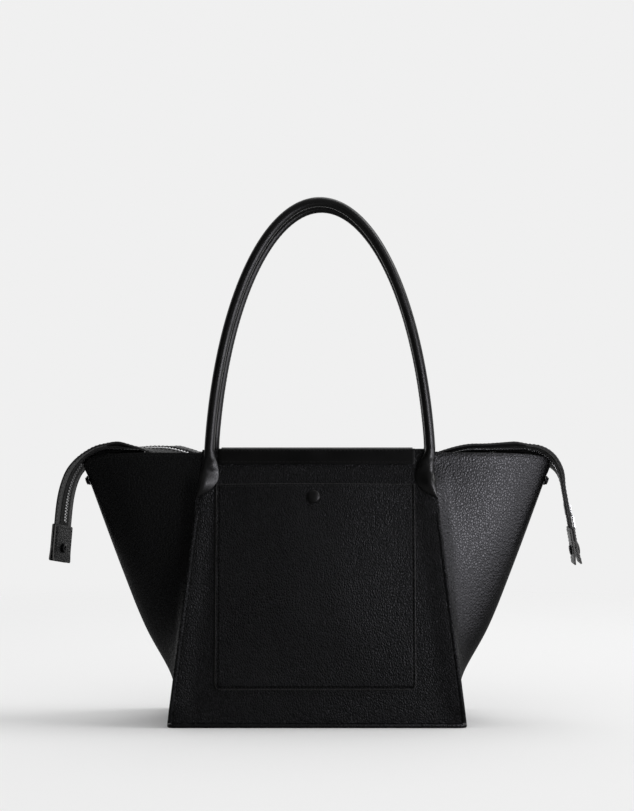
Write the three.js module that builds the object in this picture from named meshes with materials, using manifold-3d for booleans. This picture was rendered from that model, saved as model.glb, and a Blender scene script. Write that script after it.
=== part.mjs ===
// Winged leather tote bag: millimetres, +Z up, the front faces -Y, origin on the floor under the base centre.
import * as THREE from "three";
import { mergeVertices } from "three/addons/utils/BufferGeometryUtils.js";
import Module from "manifold-3d";

const wasm = await Module();
wasm.setup();

// Body
const baseWidth = 310;
const topWidth = 241;
const baseDepth = 150;
const topDepth = 60;
const bodyHeight = 286;
const panelLeather = 2;
const clearance = 0.3;
const seamRidgeWidth = 4;
const seamRidgeHeight = 0.7;

// Base
const baseThickness = 4;
const baseCorner = 7;
const boardThickness = 2.5;
const boardEndInset = 11;
const boardSideInset = 7;
const baseLiningInset = 2;

// Wings
const wingLeather = 1.8;
const wingFlange = 5.5;
const seamInset = 3.5;
const wingTopDrop = 3;
const wingTipDrop = 16;
const wingReach = 125;
const wingTuck = 7.2;
const wingTuckHeight = 25;
const wingFoldHeight = 95;
const wingBulge = 6;
const wingFoldReach = 37.5;
const noseTop = 14;
const noseFoot = 45;
const wingSteps = 8;
const wingRows = 8;
const liningSteps = 6;
const liningCloth = 0.8;
const liningGap = 0.4;

// Top binding
const bandLength = 206;
const bandLeather = 1.2;
const bandFront = 17;
const bandBack = 23;

// Pocket
const pocketWidth = 208;
const pocketTopDrop = 36.5;
const pocketFoot = 39;
const pocketOffset = -1.5;
const pocketDepth = 4.8;
const pocketLeather = 1.6;
const pocketRim = 3;
const pocketCorner = 5;
const pocketTopCorner = 1;

// Snaps
const snapRadius = 7;
const snapDome = 2.6;
const snapPost = 1.5;
const snapSocketRadius = 5.2;
const snapSocketBore = 2.3;
const snapStudTip = 1.8;
const pocketSnapDrop = 14;
const pocketSnapOffset = -3.7;
const wingStudDrop = 14;
const wingStudTip = 4;
const socketHeight = 3;
const tabSocketHeight = 2;
const roundSides = 10;

// Handles
const handleRadius = 5.3;
const handleWall = 1.1;
const handleSpan = 231.8;
const handleRise = 257.6;
const handleShoulder = 52;
const handleSteps = 20;
const handleSides = 8;
const handleHingeLift = 1.6;
const handleSwing = 110;
const frontHandleShift = 3;
const rearHandleShift = 5;
const leafLength = 53;
const leafWidth = 19;
const leafEdge = 1.8;
const leafSeamInset = 2;
const leafCrescent = 21;
const leafSteps = 8;

// Zip ribbon
const zipDrop = 13;
const stripThickness = 2;
const slotHalf = 6;
const ribbonHalf = 20;
const leafHalfLength = 95;
const splitGap = 0.6;
const tapeThickness = 0.6;
const tapeHalf = 10;
const tapeEdge = 1.3;
const toothPitch = 6.6;
const toothLength = 1.9;
const toothReach = 0.9;
const toothHalf = 2.9;
const toothTop = 0.3;
const ribbonTipInset = 28.9;
const bridgeRampLength = 47.4;
const ribbonLift = 5;
const ribbonTilt = 10;
const ribbonTipTilt = 15;
const bridgeSteps = 20;

// Hanging tabs
const hingeGap = 0.9;
const leftTabBend = 35;
const leftTabFall = 43;
const rightTabBend = 42;
const rightTabFall = 90;
const tabShape = {
  left: { bend: leftTabBend, ease: 2, turn: 85, straight: leftTabFall, twist: 18 },
  right: { bend: rightTabBend, ease: 1, turn: 80, straight: rightTabFall, twist: -6 },
};
const twistLength = 60;
const bendSteps = 26;
const fallSteps = 3;
const trailSteps = 400;
const coverLength = 39;
const coverHalf = 21.5;
const coverThickness = 6;
const coverPocket = 14;
const coverCorner = 5;
const coverSnapFromEnd = 15;
const railSlit = 1.5;

// Slider and puller
const sliderPlace = 31;
const sliderLength = 12;
const sliderFront = 5.2;
const sliderBack = 4;
const sliderPlate = 1.1;
const sliderWedge = 0.9;
const bailHeight = 3.6;
const bailLength = 8;
const bailWire = 1.1;
const bailWidth = 1.6;
const ringRadius = 4;
const ringWire = 0.7;
const pullLength = 16;
const pullWidth = 6;
const pullThickness = 2;

const grainLeather = new THREE.MeshStandardMaterial({ color: 0x1b1b1c, roughness: 0.55 });
const smoothLeather = new THREE.MeshStandardMaterial({ color: 0x171718, roughness: 0.4 });
const liningFabric = new THREE.MeshStandardMaterial({ color: 0x2b2a2c, roughness: 0.9 });
const stiffBoard = new THREE.MeshStandardMaterial({ color: 0x3b3732, roughness: 0.95 });
const handleCore = new THREE.MeshStandardMaterial({ color: 0x4a443d, roughness: 0.95 });
const zipMetal = new THREE.MeshStandardMaterial({ color: 0xc6c7c9, roughness: 0.28, metalness: 1 });

const { lerp, smoothstep, degToRad } = THREE.MathUtils;
const lean = Math.atan2((baseDepth - topDepth) / 2, bodyHeight);
const panelLength = bodyHeight / Math.cos(lean);
const pocketTop = panelLength - pocketTopDrop;
const pocketSnapHeight = pocketTop - pocketSnapDrop;
const handleHingeHeight = panelLength + handleHingeLift;
const handleShift = { front: frontHandleShift, rear: rearHandleShift };
const zipHeight = bodyHeight - zipDrop;
const halfTurn = Math.PI;
const quarterTurn = Math.PI / 2;
const mergeDistance = 1e-3;

const bag = new THREE.Group();

// Solid from a closed geometry, with its faces turned outwards.
function solid(geometry) {
  const bare = geometry.clone();
  bare.deleteAttribute("normal");
  bare.deleteAttribute("uv");
  const merged = mergeVertices(bare, mergeDistance);
  const place = merged.attributes.position;
  const corner = [new THREE.Vector3(), new THREE.Vector3(), new THREE.Vector3()];
  const triangles = [];
  let volume = 0;
  for (let i = 0; i < merged.index.count; i += 3) {
    const face = [0, 1, 2].map((k) => merged.index.getX(i + k));
    if (new Set(face).size < 3) continue;
    face.forEach((vertex, k) => corner[k].fromBufferAttribute(place, vertex));
    volume += corner[0].dot(corner[1].clone().cross(corner[2]));
    triangles.push(face);
  }
  const outward = volume < 0 ? triangles.map((face) => [face[0], face[2], face[1]]) : triangles;
  return new wasm.Manifold(new wasm.Mesh({
    numProp: 3,
    vertProperties: new Float32Array(place.array),
    triVerts: new Uint32Array(outward.flat()),
  }));
}

function meshOf(name, shape, material) {
  const body = shape.isBufferGeometry ? solid(shape) : shape;
  const { vertProperties, triVerts } = body.getMesh();
  const geometry = new THREE.BufferGeometry();
  geometry.setAttribute("position", new THREE.BufferAttribute(vertProperties, 3));
  geometry.setIndex(new THREE.BufferAttribute(triVerts, 1));
  geometry.computeVertexNormals();
  const mesh = new THREE.Mesh(geometry, material);
  mesh.name = name;
  return mesh;
}

// Body through rings with the same even count of points; each end is closed by a strip across its ring.
function loft(rings) {
  const count = rings[0].length;
  const last = (rings.length - 1) * count;
  const triangles = [];
  for (let start = 0; start < last; start += count) {
    for (let k = 0; k < count; k++) {
      const near = start + k;
      const next = start + ((k + 1) % count);
      // both halves of a ring split their faces along the same diagonal, so that parallel sheets stay parallel
      if (k < count / 2) triangles.push(near, next, next + count, near, next + count, near + count);
      else triangles.push(near, next, near + count, next, next + count, near + count);
    }
  }
  for (let k = 0; k < count / 2 - 1; k++) {
    const far = count - 1 - k;
    triangles.push(k, far, k + 1, k + 1, far, far - 1);
    triangles.push(last + k, last + k + 1, last + far, last + k + 1, last + far - 1, last + far);
  }
  const geometry = new THREE.BufferGeometry();
  geometry.setFromPoints(rings.flat());
  geometry.setIndex(triangles);
  return geometry;
}

// Plate cut to a shape in the panel's own plane, from one distance out of the panel's face to another.
function plate(shape, inner, outer) {
  const cut = new THREE.ExtrudeGeometry(shape, { depth: outer - inner, bevelEnabled: false, curveSegments: 4 });
  return cut.translate(0, 0, inner).rotateX(quarterTurn);
}

function roundedRectangle(left, right, foot, top, corner, topCorner = corner) {
  const shape = new THREE.Shape();
  shape.moveTo(left + corner, foot);
  shape.lineTo(right - corner, foot);
  if (corner > 0) shape.absarc(right - corner, foot + corner, corner, -quarterTurn, 0);
  shape.lineTo(right, top - topCorner);
  if (topCorner > 0) shape.absarc(right - topCorner, top - topCorner, topCorner, 0, quarterTurn);
  shape.lineTo(left + topCorner, top);
  if (topCorner > 0) shape.absarc(left + topCorner, top - topCorner, topCorner, quarterTurn, halfTurn);
  shape.lineTo(left, foot + corner);
  if (corner > 0) shape.absarc(left + corner, foot + corner, corner, halfTurn, halfTurn + quarterTurn);
  return shape;
}

function polygon(points) {
  return new THREE.Shape(points.map(([x, y]) => new THREE.Vector2(x, y)));
}

// Round piece turned about +Y from a profile of radius and height.
function turned(profile) {
  const outline = profile.map(([radius, height]) => new THREE.Vector2(radius, height));
  return new THREE.LatheGeometry(outline, roundSides);
}

function pin(radius, from, to) {
  return turned([[0, from], [radius, from], [radius, to], [0, to]]);
}

function box(from, to) {
  const size = from.map((low, axis) => to[axis] - low);
  const centre = from.map((low, axis) => (low + to[axis]) / 2);
  return new THREE.BoxGeometry(...size).translate(...centre);
}

const seamHalf = (z) => lerp(baseWidth / 2, topWidth / 2, z / bodyHeight);
const panelHalf = (slope) => lerp(baseWidth / 2, topWidth / 2, slope / panelLength);
// Depth of a layer that lies a distance inside the panel's outer face, at a height above the floor.
const layerDepth = (z, inside) => -baseDepth / 2 + z * Math.tan(lean) + inside / Math.cos(lean);

function panelFrame(turn) {
  const side = new THREE.Group();
  side.rotation.z = turn;
  const frame = new THREE.Group();
  frame.position.set(0, -baseDepth / 2, 0);
  frame.rotation.x = -lean;
  side.add(frame);
  bag.add(side);
  return frame;
}

const frames = { front: panelFrame(0), rear: panelFrame(halfTurn) };

// Turns a piece made about +Y so that it points out of the panel, at a place on the panel.
function onPanel(geometry, x, slope) {
  return geometry.rotateX(halfTurn).translate(x, 0, slope);
}

// Panels, each with a raised seam ridge along its two sloping edges
const panelFoot = (baseThickness + clearance + panelLeather * Math.sin(lean)) / Math.cos(lean);

function panelSolid() {
  const outline = polygon([
    [-panelHalf(panelFoot), panelFoot],
    [panelHalf(panelFoot), panelFoot],
    [panelHalf(panelLength), panelLength],
    [-panelHalf(panelLength), panelLength],
  ]);
  const ridgeTop = panelLength - bandFront;
  const ridge = (side) => solid(plate(polygon([
    [side * panelHalf(panelFoot), panelFoot],
    [side * (panelHalf(panelFoot) - seamRidgeWidth), panelFoot],
    [side * (panelHalf(ridgeTop - leafLength) - seamRidgeWidth), ridgeTop - leafLength],
    [side * panelHalf(ridgeTop - leafLength), ridgeTop - leafLength],
  ]), -panelLeather / 2, seamRidgeHeight));
  return solid(plate(outline, -panelLeather, 0)).add(ridge(-1)).add(ridge(1));
}

const studBore = pin(snapPost + clearance, -2 * panelLeather, panelLeather);
const studHole = solid(onPanel(studBore, pocketSnapOffset, pocketSnapHeight));
frames.front.add(meshOf("front_panel", panelSolid().subtract(studHole), grainLeather));
frames.rear.add(meshOf("rear_panel", panelSolid(), grainLeather));

// Linings of the panels
const liningTopDrop = 5;
const liningInside = panelLeather + clearance + liningGap / 2;
const liningFoot = baseThickness + boardThickness + 4 * clearance;
const liningTop = panelLength - liningTopDrop;

function panelLining(side) {
  const edge = (slope) => panelHalf(slope) - wingFlange - seamInset - 2 * clearance;
  const outline = polygon([
    [-edge(liningFoot), liningFoot],
    [edge(liningFoot), liningFoot],
    [edge(liningTop), liningTop],
    [-edge(liningTop), liningTop],
  ]);
  const cloth = plate(outline, -liningInside - liningCloth, -liningInside);
  frames[side].add(meshOf(`${side}_lining`, cloth, liningFabric));
}

// Binding folded over the panel's top edge
const bandInner = liningInside + liningCloth + clearance;

function topBand(side) {
  const foldFoot = panelLength + clearance;
  const foldTop = foldFoot + bandLeather;
  const outside = clearance + bandLeather;
  const inside = -bandInner - bandLeather;
  const section = polygon([
    [outside, foldTop - bandFront],
    [outside, foldTop],
    [inside, foldTop],
    [inside, foldTop - bandBack],
    [-bandInner, foldTop - bandBack],
    [-bandInner, foldFoot],
    [clearance, foldFoot],
    [clearance, foldTop - bandFront],
  ]);
  const length = new THREE.ExtrudeGeometry(section, { depth: bandLength, bevelEnabled: false });
  length.translate(0, 0, -bandLength / 2);
  const place = new THREE.Matrix4().makeBasis(
    new THREE.Vector3(0, -1, 0), new THREE.Vector3(0, 0, 1), new THREE.Vector3(-1, 0, 0));
  frames[side].add(meshOf(`${side}_top_band`, length.applyMatrix4(place), smoothLeather));
}

for (const side of ["front", "rear"]) {
  panelLining(side);
  topBand(side);
}

// Base: leather base, stiff board and lining laid on it
function slab(length, width, corner, foot, thickness) {
  const shape = roundedRectangle(-length / 2, length / 2, -width / 2, width / 2, corner);
  const sheet = new THREE.ExtrudeGeometry(shape, { depth: thickness, bevelEnabled: false, curveSegments: 4 });
  return sheet.translate(0, 0, foot);
}

const boardFoot = baseThickness + clearance;
const boardLength = baseWidth - 2 * boardEndInset;
const boardWidth = baseDepth - 2 * boardSideInset;
const baseLiningFoot = boardFoot + boardThickness + clearance;
bag.add(meshOf("base_panel", slab(baseWidth, baseDepth, baseCorner, 0, baseThickness), grainLeather));
bag.add(meshOf("base_board", slab(boardLength, boardWidth, baseCorner, boardFoot, boardThickness), stiffBoard));
const baseCloth = slab(
  boardLength - 2 * baseLiningInset, boardWidth - 2 * baseLiningInset, baseCorner, baseLiningFoot, liningCloth);
bag.add(meshOf("base_lining", baseCloth, liningFabric));

// Patch pocket: a front sheet with a rim on three sides, open at its top
const pocketFace = clearance + pocketDepth;
const pocketLeft = pocketOffset - pocketWidth / 2;
const pocketRight = pocketOffset + pocketWidth / 2;
const pocketOuter = solid(plate(
  roundedRectangle(pocketLeft, pocketRight, pocketFoot, pocketTop, pocketCorner, pocketTopCorner),
  clearance, pocketFace + pocketLeather));
const pocketCavity = solid(plate(roundedRectangle(
  pocketLeft + pocketRim, pocketRight - pocketRim,
  pocketFoot + pocketRim, pocketTop + pocketRim, pocketCorner, 0), 0, pocketFace));
const pocketBore = pin(snapPost + clearance, 0, pocketFace + 2 * pocketLeather);
const pocketHole = solid(onPanel(pocketBore, pocketSnapOffset, pocketSnapHeight));
frames.front.add(meshOf("pocket_panel", pocketOuter.subtract(pocketCavity).subtract(pocketHole), grainLeather));

// Snap pieces, all turned about the snap's own axis
function snapCap(seat, postEnd) {
  const rimHeight = 0.9;
  const domeSteps = 3;
  const profile = [[0, postEnd], [snapPost, postEnd], [snapPost, seat], [snapRadius, seat]];
  for (let i = 0; i <= domeSteps; i++) {
    const angle = (i / domeSteps) * quarterTurn;
    profile.push([snapRadius * Math.cos(angle), seat + rimHeight + (snapDome - rimHeight) * Math.sin(angle)]);
  }
  return turned(profile);
}

function snapSocket(foot, top) {
  const chamfer = 0.6;
  return turned([
    [snapSocketBore, foot],
    [snapSocketRadius - chamfer, foot],
    [snapSocketRadius, foot + chamfer],
    [snapSocketRadius, top],
    [snapSocketBore, top],
    [snapSocketBore, foot],
  ]);
}

function snapStud(shankEnd, seat, tipEnd) {
  const flange = 0.8;
  const flangeRadius = snapSocketRadius - 0.7;
  const tipNeck = snapStudTip - clearance;
  return turned([
    [0, shankEnd],
    [snapPost, shankEnd],
    [snapPost, seat],
    [flangeRadius, seat],
    [flangeRadius, seat + flange],
    [tipNeck, seat + flange],
    [snapStudTip, lerp(seat + flange, tipEnd, 0.6)],
    [tipNeck, tipEnd],
    [0, tipEnd],
  ]);
}

const pocketSkin = pocketFace + pocketLeather;
const socketTop = pocketFace - clearance;
const socketFoot = socketTop - socketHeight;
const pocketCap = snapCap(pocketSkin + clearance, socketTop + clearance / 2);
const pocketSocket = snapSocket(socketFoot, socketTop);
const panelStud = snapStud(-panelLeather, clearance, socketTop - 3 * clearance);
const atPocketSnap = (piece) => onPanel(piece, pocketSnapOffset, pocketSnapHeight);
frames.front.add(meshOf("pocket_snap_cap", atPocketSnap(pocketCap), smoothLeather));
frames.front.add(meshOf("pocket_snap_socket", atPocketSnap(pocketSocket), zipMetal));
frames.front.add(meshOf("panel_snap_stud", atPocketSnap(panelStud), zipMetal));

// Wings: at each height a section runs from a flange behind the front panel round the nose to the rear one
const wingTop = bodyHeight - wingTopDrop;
const wingFoot = baseThickness + clearance;
const tipHeight = wingTop - wingTipDrop;
const wingStudHeight = tipHeight - wingStudDrop;
const reachCurve = new THREE.CatmullRomCurve3([
  new THREE.Vector3(-wingTuck / 2, 0, 0),
  new THREE.Vector3(-wingTuck, 0, wingTuckHeight),
  new THREE.Vector3(wingFoldReach / 8, 0, wingFoldHeight / 2),
  new THREE.Vector3(wingFoldReach, 0, wingFoldHeight),
  new THREE.Vector3(lerp(wingFoldReach, wingReach, 0.4), 0, lerp(wingFoldHeight, tipHeight, 0.38)),
  new THREE.Vector3(wingReach, 0, tipHeight),
]).getPoints(120);

// How far the wing's nose stands out past the seam line
function wingReachAt(z) {
  const above = reachCurve.findIndex((point) => point.z >= z);
  const flare = (wingReach - wingFoldReach) / (tipHeight - wingFoldHeight);
  if (above < 0) return wingReach + (z - tipHeight) * flare;
  if (above === 0) return reachCurve[0].x;
  const [low, high] = [reachCurve[above - 1], reachCurve[above]];
  return lerp(low.x, high.x, (z - low.z) / (high.z - low.z));
}

const noseAt = (z) => seamHalf(z) + wingReachAt(z);

function wingPoint(z, step) {
  const depth = layerDepth(z, panelLeather + clearance);
  const seam = new THREE.Vector2(seamHalf(z) - seamInset, depth);
  if (step < 0) return seam.clone().setX(seam.x - wingFlange);
  const nose = new THREE.Vector2(noseAt(z), 0);
  const chord = nose.clone().sub(seam);
  const lead = chord.clone().rotateAround(new THREE.Vector2(), -degToRad(wingBulge)).multiplyScalar(0.4);
  const roundness = Math.min(lerp(noseFoot, noseTop, z / wingTop), -depth * 0.7);
  const bend = new THREE.CubicBezierCurve(
    seam, seam.clone().add(lead), nose.clone().setY(-roundness), nose);
  return bend.getPoint(step / wingSteps);
}

function wingRow(share) {
  const front = [];
  for (let step = -1; step <= wingSteps; step++) {
    const progress = Math.max(step, 0) / wingSteps;
    const edge = wingTop - wingTipDrop * progress ** 3;
    const z = lerp(wingFoot, edge, share);
    const point = wingPoint(z, step);
    front.push(new THREE.Vector3(point.x, point.y, z));
  }
  const rear = front.map((point) => new THREE.Vector3(point.x, -point.y, point.z)).reverse();
  return [...front, ...rear.slice(1)];
}

// Section moved towards the inside of the bag, square to its own line in plan
function insideOf(row, distance) {
  return row.map((point, k) => {
    const before = row[Math.max(k - 1, 0)];
    const after = row[Math.min(k + 1, row.length - 1)];
    const along = new THREE.Vector2(after.x - before.x, after.y - before.y).normalize();
    return new THREE.Vector3(point.x - along.y * distance, point.y + along.x * distance, point.z);
  });
}

// Sheet between two distances inside the wing's outer face; a blunt one stops short of the nose
function wingSheet(from, to, bluntStep) {
  const rings = [];
  for (let j = 0; j <= wingRows; j++) {
    const row = wingRow((j / wingRows) ** 1.25);
    const outer = insideOf(row, from);
    const inner = insideOf(row, to);
    const limit = outer[bluntStep + 1].x;
    for (let k = bluntStep + 1; k < row.length - bluntStep - 1; k++) {
      outer[k].x = Math.min(outer[k].x, limit);
      inner[k].x = Math.min(inner[k].x, limit + from - to);
    }
    rings.push([...outer, ...inner.reverse()]);
  }
  return loft(rings);
}

const wingInside = wingLeather + liningGap;
const wingShell = wingSheet(0, wingLeather, wingSteps);
const wingLining = wingSheet(wingInside, wingInside + liningCloth, liningSteps);

// Direction square to the wing's nose line at the stud
const studLow = noseAt(wingStudHeight - 1);
const studHigh = noseAt(wingStudHeight + 1);
const studLean = Math.atan2(studHigh - studLow, 2);
const studMatrix = new THREE.Matrix4().makeRotationY(studLean);
studMatrix.multiply(new THREE.Matrix4().makeRotationZ(-quarterTurn));
studMatrix.setPosition(noseAt(wingStudHeight), 0, wingStudHeight);
const wingHole = solid(pin(snapPost + clearance, -2 * wingLeather, wingLeather).applyMatrix4(studMatrix));
const wingStud = snapStud(-wingLeather, clearance, wingStudTip).applyMatrix4(studMatrix);

function wing(side, turn) {
  const group = new THREE.Group();
  group.rotation.z = turn;
  group.add(meshOf(`${side}_wing`, solid(wingShell).subtract(wingHole), grainLeather));
  group.add(meshOf(`${side}_wing_lining`, wingLining, liningFabric));
  group.add(meshOf(`${side}_wing_stud`, wingStud, zipMetal));
  bag.add(group);
}

wing("right", 0);
wing("left", halfTurn);

// Handles: rolled sleeves round a core, on an elliptical arch that stands in a plane along X
const hingeOut = 2 * clearance + handleRadius;
const hingeDepth = baseDepth / 2 + hingeOut * Math.cos(lean) - handleHingeHeight * Math.sin(lean);
const hingeZ = hingeOut * Math.sin(lean) + handleHingeHeight * Math.cos(lean);
const archRise = handleRise + handleShoulder;
const archHalf = handleSpan / 2 / Math.sqrt(1 - (handleShoulder / archRise) ** 2);
const archStart = Math.asin(handleShoulder / archRise);

function archFrame(share) {
  const angle = lerp(archStart, halfTurn - archStart, share);
  const place = new THREE.Vector3(
    archHalf * Math.cos(angle), 0, archRise * Math.sin(angle) - handleShoulder);
  const along = new THREE.Vector3(-archHalf * Math.sin(angle), 0, archRise * Math.cos(angle)).normalize();
  return { place, along, out: new THREE.Vector3(along.z, 0, -along.x) };
}

function archRing({ place, along, out }, radius, shift) {
  const ring = [];
  for (let k = 0; k < handleSides; k++) {
    const angle = ((k + 0.5) / handleSides) * 2 * Math.PI;
    const point = place.clone().addScaledVector(along, shift);
    point.addScaledVector(out, radius * Math.cos(angle));
    point.y += radius * Math.sin(angle);
    ring.push(point);
  }
  return ring;
}

function archTube(radius, from, to, domes) {
  const rings = [];
  for (let i = 0; i <= handleSteps; i++) {
    rings.push(archRing(archFrame(lerp(from, to, i / handleSteps)), radius, 0));
  }
  if (!domes) return loft(rings);
  const domeSteps = [0.5, 0.85, 0.98];
  for (const depth of domeSteps) {
    const ringRadiusHere = radius * Math.sqrt(1 - depth ** 2);
    rings.unshift(archRing(archFrame(from), ringRadiusHere, -radius * depth));
    rings.push(archRing(archFrame(to), ringRadiusHere, radius * depth));
  }
  return loft(rings);
}

const handleBore = handleRadius - handleWall;
const coreEnd = 0.002;
const handleVent = (share) => {
  const { place, along } = archFrame(share);
  const vent = pin(1, -2 * handleRadius, 2 * handleRadius);
  const turn = new THREE.Quaternion().setFromUnitVectors(new THREE.Vector3(0, 1, 0), along);
  return solid(vent.applyQuaternion(turn).translate(place.x, place.y, place.z));
};
const handleSleeve = solid(archTube(handleRadius, 0, 1, true))
  .subtract(solid(archTube(handleBore, 0, 1, false)))
  .subtract(handleVent(0))
  .subtract(handleVent(1));
const handleRope = archTube(handleBore - clearance, coreEnd, 1 - coreEnd, false);

// Leaf tabs: the flattened handle ends, laid on the panel along its seam and cut to a crescent below
function leafTab(sign, hingeX) {
  const rings = [];
  const foot = handleHingeHeight - leafLength;
  const pointCount = 8;
  for (let i = 0; i <= leafSteps; i++) {
    const share = i / leafSteps;
    const slope = lerp(foot, handleHingeHeight, share);
    const neck = smoothstep(share, 0.3, 0.95);
    const crescent = Math.sin(Math.min(1, (slope - foot) / leafCrescent) * quarterTurn) ** 0.8;
    const seam = panelHalf(slope) - leafSeamInset;
    const outer = lerp(seam, hingeX + handleRadius, neck);
    const inner = lerp(seam - lerp(1, leafWidth, crescent), hingeX - handleRadius, neck);
    const thick = lerp(leafEdge, 2 * handleRadius, neck);
    const ring = [];
    for (let k = 0; k < pointCount; k++) {
      const angle = (k / (pointCount - 1)) * Math.PI;
      const across = lerp(inner, outer, (1 - Math.cos(angle)) / 2);
      const fullness = lerp(0.35, 1, Math.sin(angle) ** 0.7);
      ring.push(new THREE.Vector3(sign * across, -clearance - thick * fullness, slope));
    }
    ring.push(new THREE.Vector3(sign * outer, -clearance, slope));
    ring.push(new THREE.Vector3(sign * inner, -clearance, slope));
    rings.push(ring);
  }
  const pivot = new THREE.Vector3(sign * hingeX, -hingeOut, handleHingeHeight);
  const sweepRadius = handleRadius + 2 * clearance;
  let cut = solid(new THREE.SphereGeometry(sweepRadius, 12, 8).translate(pivot.x, pivot.y, pivot.z));
  const swingSteps = 5;
  for (let i = 0; i <= swingSteps; i++) {
    const angle = lean + degToRad(handleSwing) * (i / swingSteps);
    const path = pin(sweepRadius, 0, 4 * handleRadius).rotateX(quarterTurn + angle);
    cut = cut.add(solid(path.translate(pivot.x, pivot.y, pivot.z)));
  }
  return solid(loft(rings)).subtract(cut);
}

const mirrored = { front: 1, rear: -1 };
for (const panelSide of ["front", "rear"]) {
  const shift = handleShift[panelSide];
  for (const side of ["left", "right"]) {
    const worldSign = side === "left" ? -1 : 1;
    const hingeX = handleSpan / 2 + worldSign * shift;
    const tab = leafTab(worldSign * mirrored[panelSide], hingeX);
    frames[panelSide].add(meshOf(`${panelSide}_${side}_handle_tab`, tab, smoothLeather));
  }
  const handle = new THREE.Group();
  handle.position.set(shift, -mirrored[panelSide] * hingeDepth, hingeZ);
  handle.add(meshOf(`${panelSide}_handle_sleeve`, handleSleeve, smoothLeather));
  handle.add(meshOf(`${panelSide}_handle_core`, handleRope, handleCore));
  bag.add(handle);
}

// Zip over the main opening: two leather strips hinged at the panels, each with its row of teeth
const stripTop = stripThickness / 2;
const tapeTop = -stripTop - clearance;
const tapeFoot = tapeTop - tapeThickness;
const toothFoot = (tapeTop + tapeFoot) / 2;
const stripRoot = -layerDepth(zipHeight + stripTop, bandInner + bandLeather) - clearance;

function toothRow(start, end, phase, inner, outer, toothSolid) {
  const teeth = [];
  const first = Math.ceil((start + toothLength) / toothPitch - phase);
  for (let i = first; (i + phase) * toothPitch < end - toothLength; i++) {
    teeth.push(toothSolid((i + phase) * toothPitch, inner, outer));
  }
  return teeth;
}

function flatTooth(x, inner, outer) {
  return solid(box([x - toothLength / 2, inner, toothFoot], [x + toothLength / 2, outer, toothTop]));
}

function centreLeaf(panelSide, turn) {
  const group = new THREE.Group();
  group.rotation.z = turn;
  group.position.z = zipHeight;
  const strip = box([-leafHalfLength, -stripRoot, -stripTop], [leafHalfLength, -slotHalf, stripTop]);
  const tape = solid(box([-leafHalfLength, -tapeHalf, tapeFoot], [leafHalfLength, -tapeEdge, tapeTop]));
  const teeth = toothRow(-leafHalfLength, leafHalfLength, 0.25, -toothHalf, toothReach, flatTooth);
  group.add(meshOf(`${panelSide}_zip_strip`, strip, grainLeather));
  group.add(meshOf(`${panelSide}_zip_chain`, wasm.Manifold.union([tape, ...teeth]), zipMetal));
  bag.add(group);
}

centreLeaf("front", 0);
centreLeaf("rear", halfTurn);

// Line of the ribbon past the middle: a ramp up over the wing and a level run that ends short of the wing tip
const bridgeStart = leafHalfLength + splitGap;
const bridgeEnd = noseAt(tipHeight) - ribbonTipInset;
const bridgeRise = wingTop + ribbonLift - zipHeight;

class BridgeLine extends THREE.Curve {
  getPoint(share, target = new THREE.Vector3()) {
    const x = lerp(bridgeStart, bridgeEnd, share);
    const climb = smoothstep(x, bridgeStart, bridgeStart + bridgeRampLength);
    return target.set(x, 0, zipHeight + bridgeRise * climb);
  }
}

// Line of the hanging tab: a bend over the wing tip, round or slackening as it goes, and a straight fall
class TabLine extends THREE.Curve {
  constructor({ bend, ease, turn, straight }) {
    super();
    this.ease = ease;
    this.turn = degToRad(turn);
    this.bendLength = ease * this.turn * bend;
    this.runLength = this.bendLength + straight;
    this.trail = [new THREE.Vector3(bridgeEnd + hingeGap, 0, zipHeight + bridgeRise)];
    const stride = this.bendLength / trailSteps;
    for (let i = 0; i < trailSteps; i++) {
      this.trail.push(this.trail[i].clone().addScaledVector(this.alongAt((i + 0.5) * stride), stride));
    }
  }

  alongAt(run) {
    const ahead = 1 - Math.min(run / this.bendLength, 1);
    const pitch = this.turn * (1 - ahead ** this.ease);
    return new THREE.Vector3(Math.cos(pitch), 0, -Math.sin(pitch));
  }

  getPoint(share, target = new THREE.Vector3()) {
    const run = share * this.runLength;
    const place = Math.min(run / this.bendLength, 1) * trailSteps;
    const step = Math.min(Math.floor(place), trailSteps - 1);
    target.lerpVectors(this.trail[step], this.trail[step + 1], place - step);
    return target.addScaledVector(this.alongAt(run), Math.max(run - this.bendLength, 0));
  }

  getTangent(share, target = new THREE.Vector3()) {
    return target.copy(this.alongAt(share * this.runLength));
  }
}

// Frame on a ribbon line: along it, across it and up out of its face, rolled about the line by a tilt
function ribbonFrame(line, share, tilt) {
  const along = line.getTangentAt(share);
  const flatAcross = new THREE.Vector3(0, 1, 0);
  const flatUp = along.clone().cross(flatAcross);
  const across = flatAcross.clone().multiplyScalar(Math.cos(tilt)).addScaledVector(flatUp, Math.sin(tilt));
  return { origin: line.getPointAt(share), along, across, up: along.clone().cross(across) };
}

function ribbonPoint({ origin, across, up }, acrossBy, upBy) {
  return origin.clone().addScaledVector(across, acrossBy).addScaledVector(up, upBy);
}

const evenShares = (steps) => Array.from({ length: steps + 1 }, (_, i) => i / steps);

function ribbonPiece(frameAt, shares, [left, right], [foot, top]) {
  return loft(shares.map((share) => {
    const frame = frameAt(share);
    return [
      ribbonPoint(frame, left, foot),
      ribbonPoint(frame, right, foot),
      ribbonPoint(frame, right, top),
      ribbonPoint(frame, left, top),
    ];
  }));
}

function ribbonTooth(frameAt, length) {
  return (place, inner, outer) => {
    const { origin, along, across, up } = frameAt(place / length);
    const block = box([-toothLength / 2, inner, toothFoot], [toothLength / 2, outer, toothTop]);
    const turn = new THREE.Matrix4().makeBasis(along, across, up).setPosition(origin);
    return solid(block.applyMatrix4(turn));
  };
}

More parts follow.
